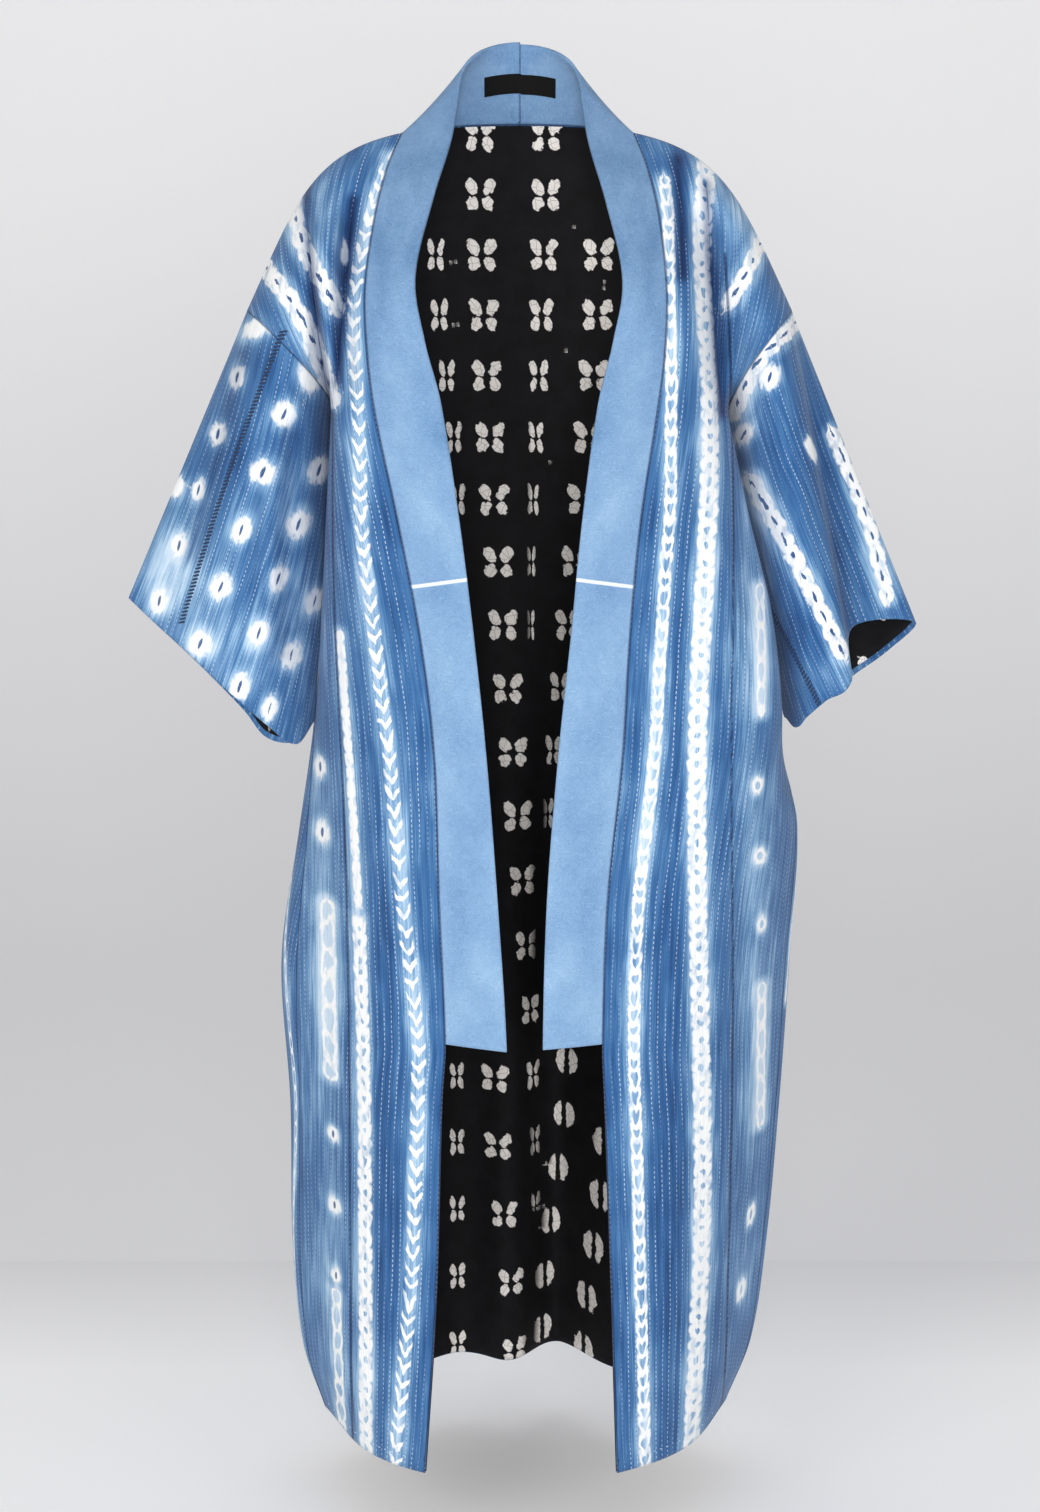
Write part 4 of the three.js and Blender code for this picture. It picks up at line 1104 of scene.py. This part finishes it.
# Rows of flowers down the back lining, a little closer at the top. Columns lean as the cloth hangs.
FLOWER_HEIGHTS = [1216 - 54 * k - 0.5 * k * k for k in range(20)]
BACK_FLOWERS = (
    flower_column(FLOWER_HEIGHTS[:18], 15, -38, 5, 15, 0.45)
    + flower_column(FLOWER_HEIGHTS[:9], 10, 25, 4, 15)
    + flower_column(FLOWER_HEIGHTS[2:14], 22, 75, 4, 15.5, 0.7)
    + flower_column(FLOWER_HEIGHTS[2:7], -60, -80, 7.5, 9)
    + flower_column(FLOWER_HEIGHTS[15:], -6, -25, 12, 14.5, tall=14.5)
    + flower_column(FLOWER_HEIGHTS[15:], -64, -64, 9, 8, tall=14.5)
    + flower_column([304 - 57 * k for k in range(6)], 22, 48, 10, 11, tall=14.0, bean=1)
    + flower_column([230 - 56 * k for k in range(5)], 66, 85, 9, 10.5, tall=15.0, bean=1)
    + scattered([-232, -182, -128, 128, 178, 228], FLOWER_HEIGHTS))
SIDE_FLOWERS = scattered([-335, -282, -229, -176, -123, 123, 176, 229, 282, 335], FLOWER_HEIGHTS, 26.0)


front_grids = {}
for side, part, chains, spots, seam in (
        ("right", RIGHT, FRONT_RIGHT_CHAINS, FRONT_RIGHT_SPOTS, RIGHT_STRIP_SEAM),
        ("left", LEFT, FRONT_LEFT_CHAINS, FRONT_LEFT_SPOTS, LEFT_STRIP_SEAM)):
    flipped = part is RIGHT
    p = front_points(part, FRONT_ROWS, FRONT_COLUMNS)
    front_grids[side] = p
    facts = dye_facts(p, chains, spots)
    # Painted shade along the shoulder valleys: a shadow attribute that darkens the colour, the same shade
    # taken off the dye tone, and dark lines drawn at the valleys through the seam distance.
    valley = distance_to_lines(p, shoulder_valleys(part["sign"]))
    facts["shadow"] = np.exp(-(valley / VALLEY_HALF) ** 2)
    facts["tone"] = facts["tone"] - VALLEY_SHADE * facts["shadow"]
    facts["seam"] = np.minimum(seam_fact(p, [seam]), valley + 0.7)
    panel(f"front_{side}_cloth", p, warp_uv(p, FRONT_ROWS[0]), flipped, SHELL, INDIGO,
          f"front_{side}", facts=facts)

    p = behind(front_points(part, FRONT_LINING_ROWS, FRONT_LINING_COLUMNS, HEM_TURN), flipped)
    panel(f"front_{side}_inner", p, cloth_uv(p), flipped, LINING, BLACK,
          f"lining_front_{side}", facts=flower_facts(p, SIDE_FLOWERS))

p = back_points(BACK_ROWS, BACK_COLUMNS)
uv = cloth_uv(p, p.shape[1] // 2)
from_middle = uv[..., 0]
facts = dye_facts(points(from_middle, p[..., 1], p[..., 2]), BACK_CHAINS)
# Distance to the side seams and the centre back, where the material paints thin lines of shade.
facts["seam"] = np.minimum(np.minimum(lengths(p, 1), lengths(p[:, ::-1], 1)[:, ::-1]),
                           np.abs(from_middle))
panel("back_cloth", p, uv, True, SHELL, INDIGO, "back", facts=facts)

p = behind(back_points(BACK_LINING_ROWS, BACK_LINING_COLUMNS, HEM_TURN), True)
panel("back_inner", p, cloth_uv(p, p.shape[1] // 2), True, LINING, BLACK, "lining_back",
      facts=flower_facts(p, BACK_FLOWERS))

sleeve_grids = {}
for side, part, chains, spots in (("right", RIGHT, (), SLEEVE_RIGHT_SPOTS),
                                  ("left", LEFT, SLEEVE_LEFT_CHAINS, SLEEVE_LEFT_SPOTS)):
    flipped = part is LEFT
    p = sleeve_points(part, SLEEVE_ROWS, SLEEVE_COLUMNS)
    sleeve_grids[side] = p
    facts = dye_facts(p, chains, spots)
    # Distance from the armhole seam, where the material paints a thin line of shade.
    facts["seam"] = np.minimum(lengths(p, 0), 30)
    # Painted shade along the sleeves' fold valleys, on their front half only.
    valley = distance_to_lines(p, SLEEVE_VALLEYS) / SLEEVE_VALLEY_HALF
    facts["shadow"] = SLEEVE_VALLEY_SHADE * np.exp(-valley ** 2) * smooth(0, 30, -p[..., 1])
    panel(f"sleeve_{side}_cloth", p, cloth_uv(p, SLEEVE_COLUMNS // 2), flipped, SHELL, INDIGO,
          f"sleeve_{side}", wraps=True, facts=facts)

    p = sleeve_points(part, SLEEVE_LINING_ROWS, SLEEVE_LINING_COLUMNS, 1 - LINING_SHORT / SLEEVE_LENGTH)
    p = behind(p, flipped, wraps=True)
    panel(f"sleeve_{side}_inner", p, cloth_uv(p), flipped, LINING, BLACK,
          f"lining_sleeve_{side}", wraps=True,
          facts=flower_facts(p, SIDE_FLOWERS))

for side, part in (("right", RIGHT), ("left", LEFT)):
    p = band_points(part, BAND_ROWS, BAND_COLUMNS)
    across = lengths(p, 1)
    hem = np.abs(lengths(p, 0) - BAND_STITCH) + 0.8
    centre_back = lengths(p[::-1], 0)[::-1] + 0.4
    # The seam distance drives lines of painted shade along the band's seam, its stitching and the centre
    # back.
    facts = {"join": p[..., 2] - mix(*BAND_JOIN, across / across[:, -1:]),
             "seam": np.minimum(across, np.minimum(hem, centre_back))}
    panel(f"neckband_{side}_cloth", p, cloth_uv(p), part is LEFT, BAND_WALL, CHAMBRAY,
          f"neckband_{side}", facts=facts)


def label_points():
    """The label lies inside the neckband at the centre back, over both halves: the band's grid, moved
    in and read again at even steps along the tape and across it."""
    right, left = (behind(band_points(part, BAND_ROWS, BAND_COLUMNS), part is LEFT,
                          BAND_WALL + LABEL_STANDOFF) for part in (RIGHT, LEFT))
    band = np.concatenate([right[-40:], left[-2:-41:-1]], axis=0)
    along = np.linspace(-LABEL_HALF_LONG, LABEL_HALF_LONG, 48)
    strip = np.stack([points(along, np.interp(along, column[:, 0], column[:, 1]),
                             np.interp(along, column[:, 0], column[:, 2]))
                      for column in band.swapaxes(0, 1)], 1)
    height = lengths(strip, 1)
    places = np.linspace(-LABEL_HALF_TALL, LABEL_HALF_TALL, 14) + height[:, -1:] / 2
    return np.stack([points(*(np.interp(at, up, row[:, k]) for k in range(3)))
                     for at, up, row in zip(places, height, strip)])


p = label_points()
piece = panel("label_tape", p, cloth_uv(p), False, LABEL_WALL, TAPE, "label")
piece.modifiers["wall"].offset = 1


# ---- Stitches ----
FRONT_HALF = 20                # vertices further back than this depth belong to the sleeve's back
NEAREST = 4
RINGS, SIDES = 6, 5            # of a stitch's tube


def on_surface(grid, line, spacing):
    """Points along a line of (x, height) in front view, carried on to the nearest front-facing
    vertices of a grid by inverse-distance weights."""
    line = np.array(line, float)
    run = np.concatenate([[0], np.cumsum(np.linalg.norm(np.diff(line, axis=0), axis=1))])
    at = np.arange(0, run[-1], spacing)
    xz = np.stack([np.interp(at, run, line[:, 0]), np.interp(at, run, line[:, 1])], -1)
    front = grid.reshape(-1, 3)
    front = front[front[:, 1] < FRONT_HALF]
    apart = np.linalg.norm(front[None, :, [0, 2]] - xz[:, None], axis=-1)
    nearest = np.argsort(apart, axis=1)[:, :NEAREST]
    weight = 1 / (np.take_along_axis(apart, nearest, 1) + 0.5)
    y = (front[nearest, 1] * weight).sum(1) / weight.sum(1)
    return points(xz[:, 0], y, xz[:, 1])


def whipstitches(name, path, material, long=7.5, thick=1.0, lean=0.6, lift=1.0):
    """Slanting thread loops over a seam. Each is a half sine of the given length across the path,
    a closed tube that is thickest in the middle, and all are written as one mesh."""
    ahead = np.gradient(path, axis=0)
    ahead /= np.linalg.norm(ahead, axis=1, keepdims=True)
    out = np.array((0.0, -1.0, 0.0)) - ahead * (-ahead[:, 1:2])
    out /= np.linalg.norm(out, axis=1, keepdims=True)
    sideways = np.cross(ahead, out)
    heading = sideways + ahead * lean
    heading /= np.linalg.norm(heading, axis=1, keepdims=True)
    other = np.cross(heading, out)
    ring, turn = np.linspace(0, 1, RINGS), np.arange(SIDES) * 2 * np.pi / SIDES
    centre = (path[:, None] + heading[:, None] * ((ring - 0.5) * long)[None, :, None]
              + out[:, None] * (np.sin(ring * np.pi) * lift - 0.15)[None, :, None])
    radius = thick * (0.55 + 0.45 * np.sin(ring * np.pi))
    tube = (centre[:, :, None]
            + other[:, None, None] * (np.cos(turn) * radius[:, None])[None, :, :, None]
            + out[:, None, None] * (np.sin(turn) * radius[:, None])[None, :, :, None])
    ids = np.arange(len(path) * RINGS * SIDES).reshape(len(path), RINGS, SIDES)
    beside_ids = np.roll(ids, -1, axis=2)
    quads = np.stack([ids[:, :-1], beside_ids[:, :-1], beside_ids[:, 1:], ids[:, 1:]], -1).reshape(-1, 4)
    mesh = bpy.data.meshes.new(name)
    caps = np.concatenate([ids[:, 0, ::-1], ids[:, -1]]).reshape(-1, SIDES)
    verts = (tube.reshape(-1, 3) - (0, 0, HEM_TO_NECK)) / 1000
    mesh.from_pydata(verts.tolist(), [], quads.tolist() + caps.tolist())
    mesh.shade_smooth()
    mesh.materials.append(material)
    piece = bpy.data.objects.new(name, mesh)
    bpy.context.scene.collection.objects.link(piece)
    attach(piece, "root")
    return piece


WHIP_RIGHT = course((-211, 1030), (-262, 905), (-310, 765))
WHIP_LEFT = course((226, 792), (274, 694))
HEM_RIGHT = [(-106, HEM_STITCH), (-190, HEM_STITCH)]
HEM_LEFT = [(112, HEM_STITCH), (190, HEM_STITCH)]
RUNNING = {"long": 3.2, "thick": 0.35, "lean": 30.0, "lift": 0.35}
JOINING = {"long": 3.4, "thick": 0.4, "lean": 1.4, "lift": 0.4}
for name, grid, line, spacing, colour, stitch in (
        ("sleeve_right_whipstitch", sleeve_grids["right"], WHIP_RIGHT, 3.5, NAVY_THREAD, {}),
        ("sleeve_left_whipstitch", sleeve_grids["left"], WHIP_LEFT, 3.5, NAVY_THREAD, {}),
        ("hem_stitches_right", front_grids["right"], HEM_RIGHT, 6.0, PALE_THREAD, RUNNING),
        ("hem_stitches_left", front_grids["left"], HEM_LEFT, 6.0, PALE_THREAD, RUNNING),
        ("strip_stitches_left", front_grids["left"], LEFT_STRIP_SEAM[1:-1], 7.0, NAVY_THREAD, JOINING),
        ("strip_stitches_right", front_grids["right"], RIGHT_STRIP_SEAM[1:-1], 7.0, NAVY_THREAD, JOINING)):
    whipstitches(name, on_surface(grid, line, spacing), colour, **stitch)


# ---- Studio ----
def paper():
    """Matt grey studio paper with painted light: it glows faintly in its own colour, and its colour is
    painted darker at the far end and at the top, as light falls off.
    """
    material, add, shader = new_material("matt_grey_paper")
    place = add(SPLIT, None, add(PLACE).outputs["Object"])
    # Painted light fall-off: the floor is painted darker near the front and at the far end, and the wall
    # brightest part way up and darker at the top.
    floor = add(RAMP, None, add(RANGE, None, place.outputs[1], -1.2, 0.7))
    ramp_stops(floor, [(0.0, "#DCDCDD"), (0.5, "#EAEAEB"), (0.80, "#ECECED"), (1.0, "#D6D6D8")])
    wall = add(RAMP, None, add(RANGE, None, place.outputs[2], -1.2, 2.6))
    ramp_stops(wall, [(0.0, "#DADADC"), (0.34, "#F0F0F1"), (0.55, "#F8F8F9"), (0.80, "#D9D9DB"),
                      (1.0, "#CECED0")])
    on_wall = add(MATH, ABOVE, place.outputs[1], 0.7)
    colour = add(MIX, COLOUR, on_wall, in6=floor, in7=wall).outputs[2]
    # Painted light: the paper glows faintly in its own colour, though it is no lamp. This lifts the paper and
    # the shadows on it.
    fill(shader, Base_Color=colour, Emission_Color=colour, Emission_Strength=0.17, Roughness=0.95)
    return material


def sweep():
    """Paper floor that turns up behind the robe on a quarter circle of 1.6 m and runs out of view."""
    across, along = np.meshgrid(np.linspace(-9, 9, 3), np.linspace(0, 1, 60), indexing="ij")
    floor, radius, wall = 7.0, 1.6, 5.0
    arc = radius * np.pi / 2
    run = along * (floor + arc + wall)
    bend = np.clip((run - floor) / radius, 0, np.pi / 2)
    y = -4.5 + np.minimum(run, floor) + radius * np.sin(bend)
    z = radius * (1 - np.cos(bend)) + np.maximum(run - floor - arc, 0)
    verts = np.stack([across, y, z - 1.28], -1).reshape(-1, 3)
    ids = np.arange(180).reshape(3, 60)
    quads = np.stack([ids[:-1, :-1], ids[1:, :-1], ids[1:, 1:], ids[:-1, 1:]], -1).reshape(-1, 4)
    mesh = bpy.data.meshes.new("paper_sweep")
    mesh.from_pydata(verts.tolist(), [], quads.tolist())
    mesh.shade_smooth()
    mesh.materials.append(paper())
    piece = bpy.data.objects.new("paper_sweep", mesh)
    bpy.context.scene.collection.objects.link(piece)


def soft_light(name, place, target, size, power, colour="#FFFFFF"):
    """A square soft box that faces its target."""
    lamp = bpy.data.lights.new(name, "AREA")
    lamp.shape, lamp.size, lamp.energy = "SQUARE", size, power
    lamp.color = linear(colour)[:3]
    made = bpy.data.objects.new(name, lamp)
    bpy.context.scene.collection.objects.link(made)
    made.location = place
    aim = np.array(target, float) - np.array(place, float)
    aim /= np.linalg.norm(aim)
    made.rotation_euler = (math.acos(-aim[2]), 0, math.atan2(-aim[0], aim[1]))


sweep()
soft_light("key", (-2.0, -3.0, 0.4), (0, 0, -0.7), 1.8, 43, "#FFFCF8")
soft_light("fill", (2.4, -2.9, 0.0), (0, 0, -0.7), 2.2, 23, "#FBFCFF")
soft_light("front", (0.1, -3.6, -0.3), (0, 0, -0.7), 0.9, 58, "#FFFFFF")
soft_light("top", (0.0, 0.9, 2.4), (0, 0, -0.5), 2.4, 12)
world = bpy.data.worlds.new("studio_air")
world.use_nodes = True
world.node_tree.nodes["Background"].inputs[0].default_value = linear("#EBEBEC")
world.node_tree.nodes["Background"].inputs[1].default_value = 0.53
bpy.context.scene.world = world

# The view: eye in metres, tilt down in radians, and the distance to the image in its own pixels.
EYE, TILT, IMAGE_DISTANCE, IMAGE_HEIGHT, SENSOR = (0, -2.6, -0.23392), 0.128807, 2804.28, 1512, 36
lens = bpy.data.cameras.new("camera")
lens.sensor_width = SENSOR
lens.lens = IMAGE_DISTANCE / IMAGE_HEIGHT * SENSOR
lens.clip_start, lens.clip_end = 0.05, 50
camera = bpy.data.objects.new("camera", lens)
bpy.context.scene.collection.objects.link(camera)
camera.location = EYE
camera.rotation_euler = (math.pi / 2 - TILT, 0, 0)
bpy.context.scene.camera = camera
bpy.context.scene.view_settings.view_transform = "Standard"
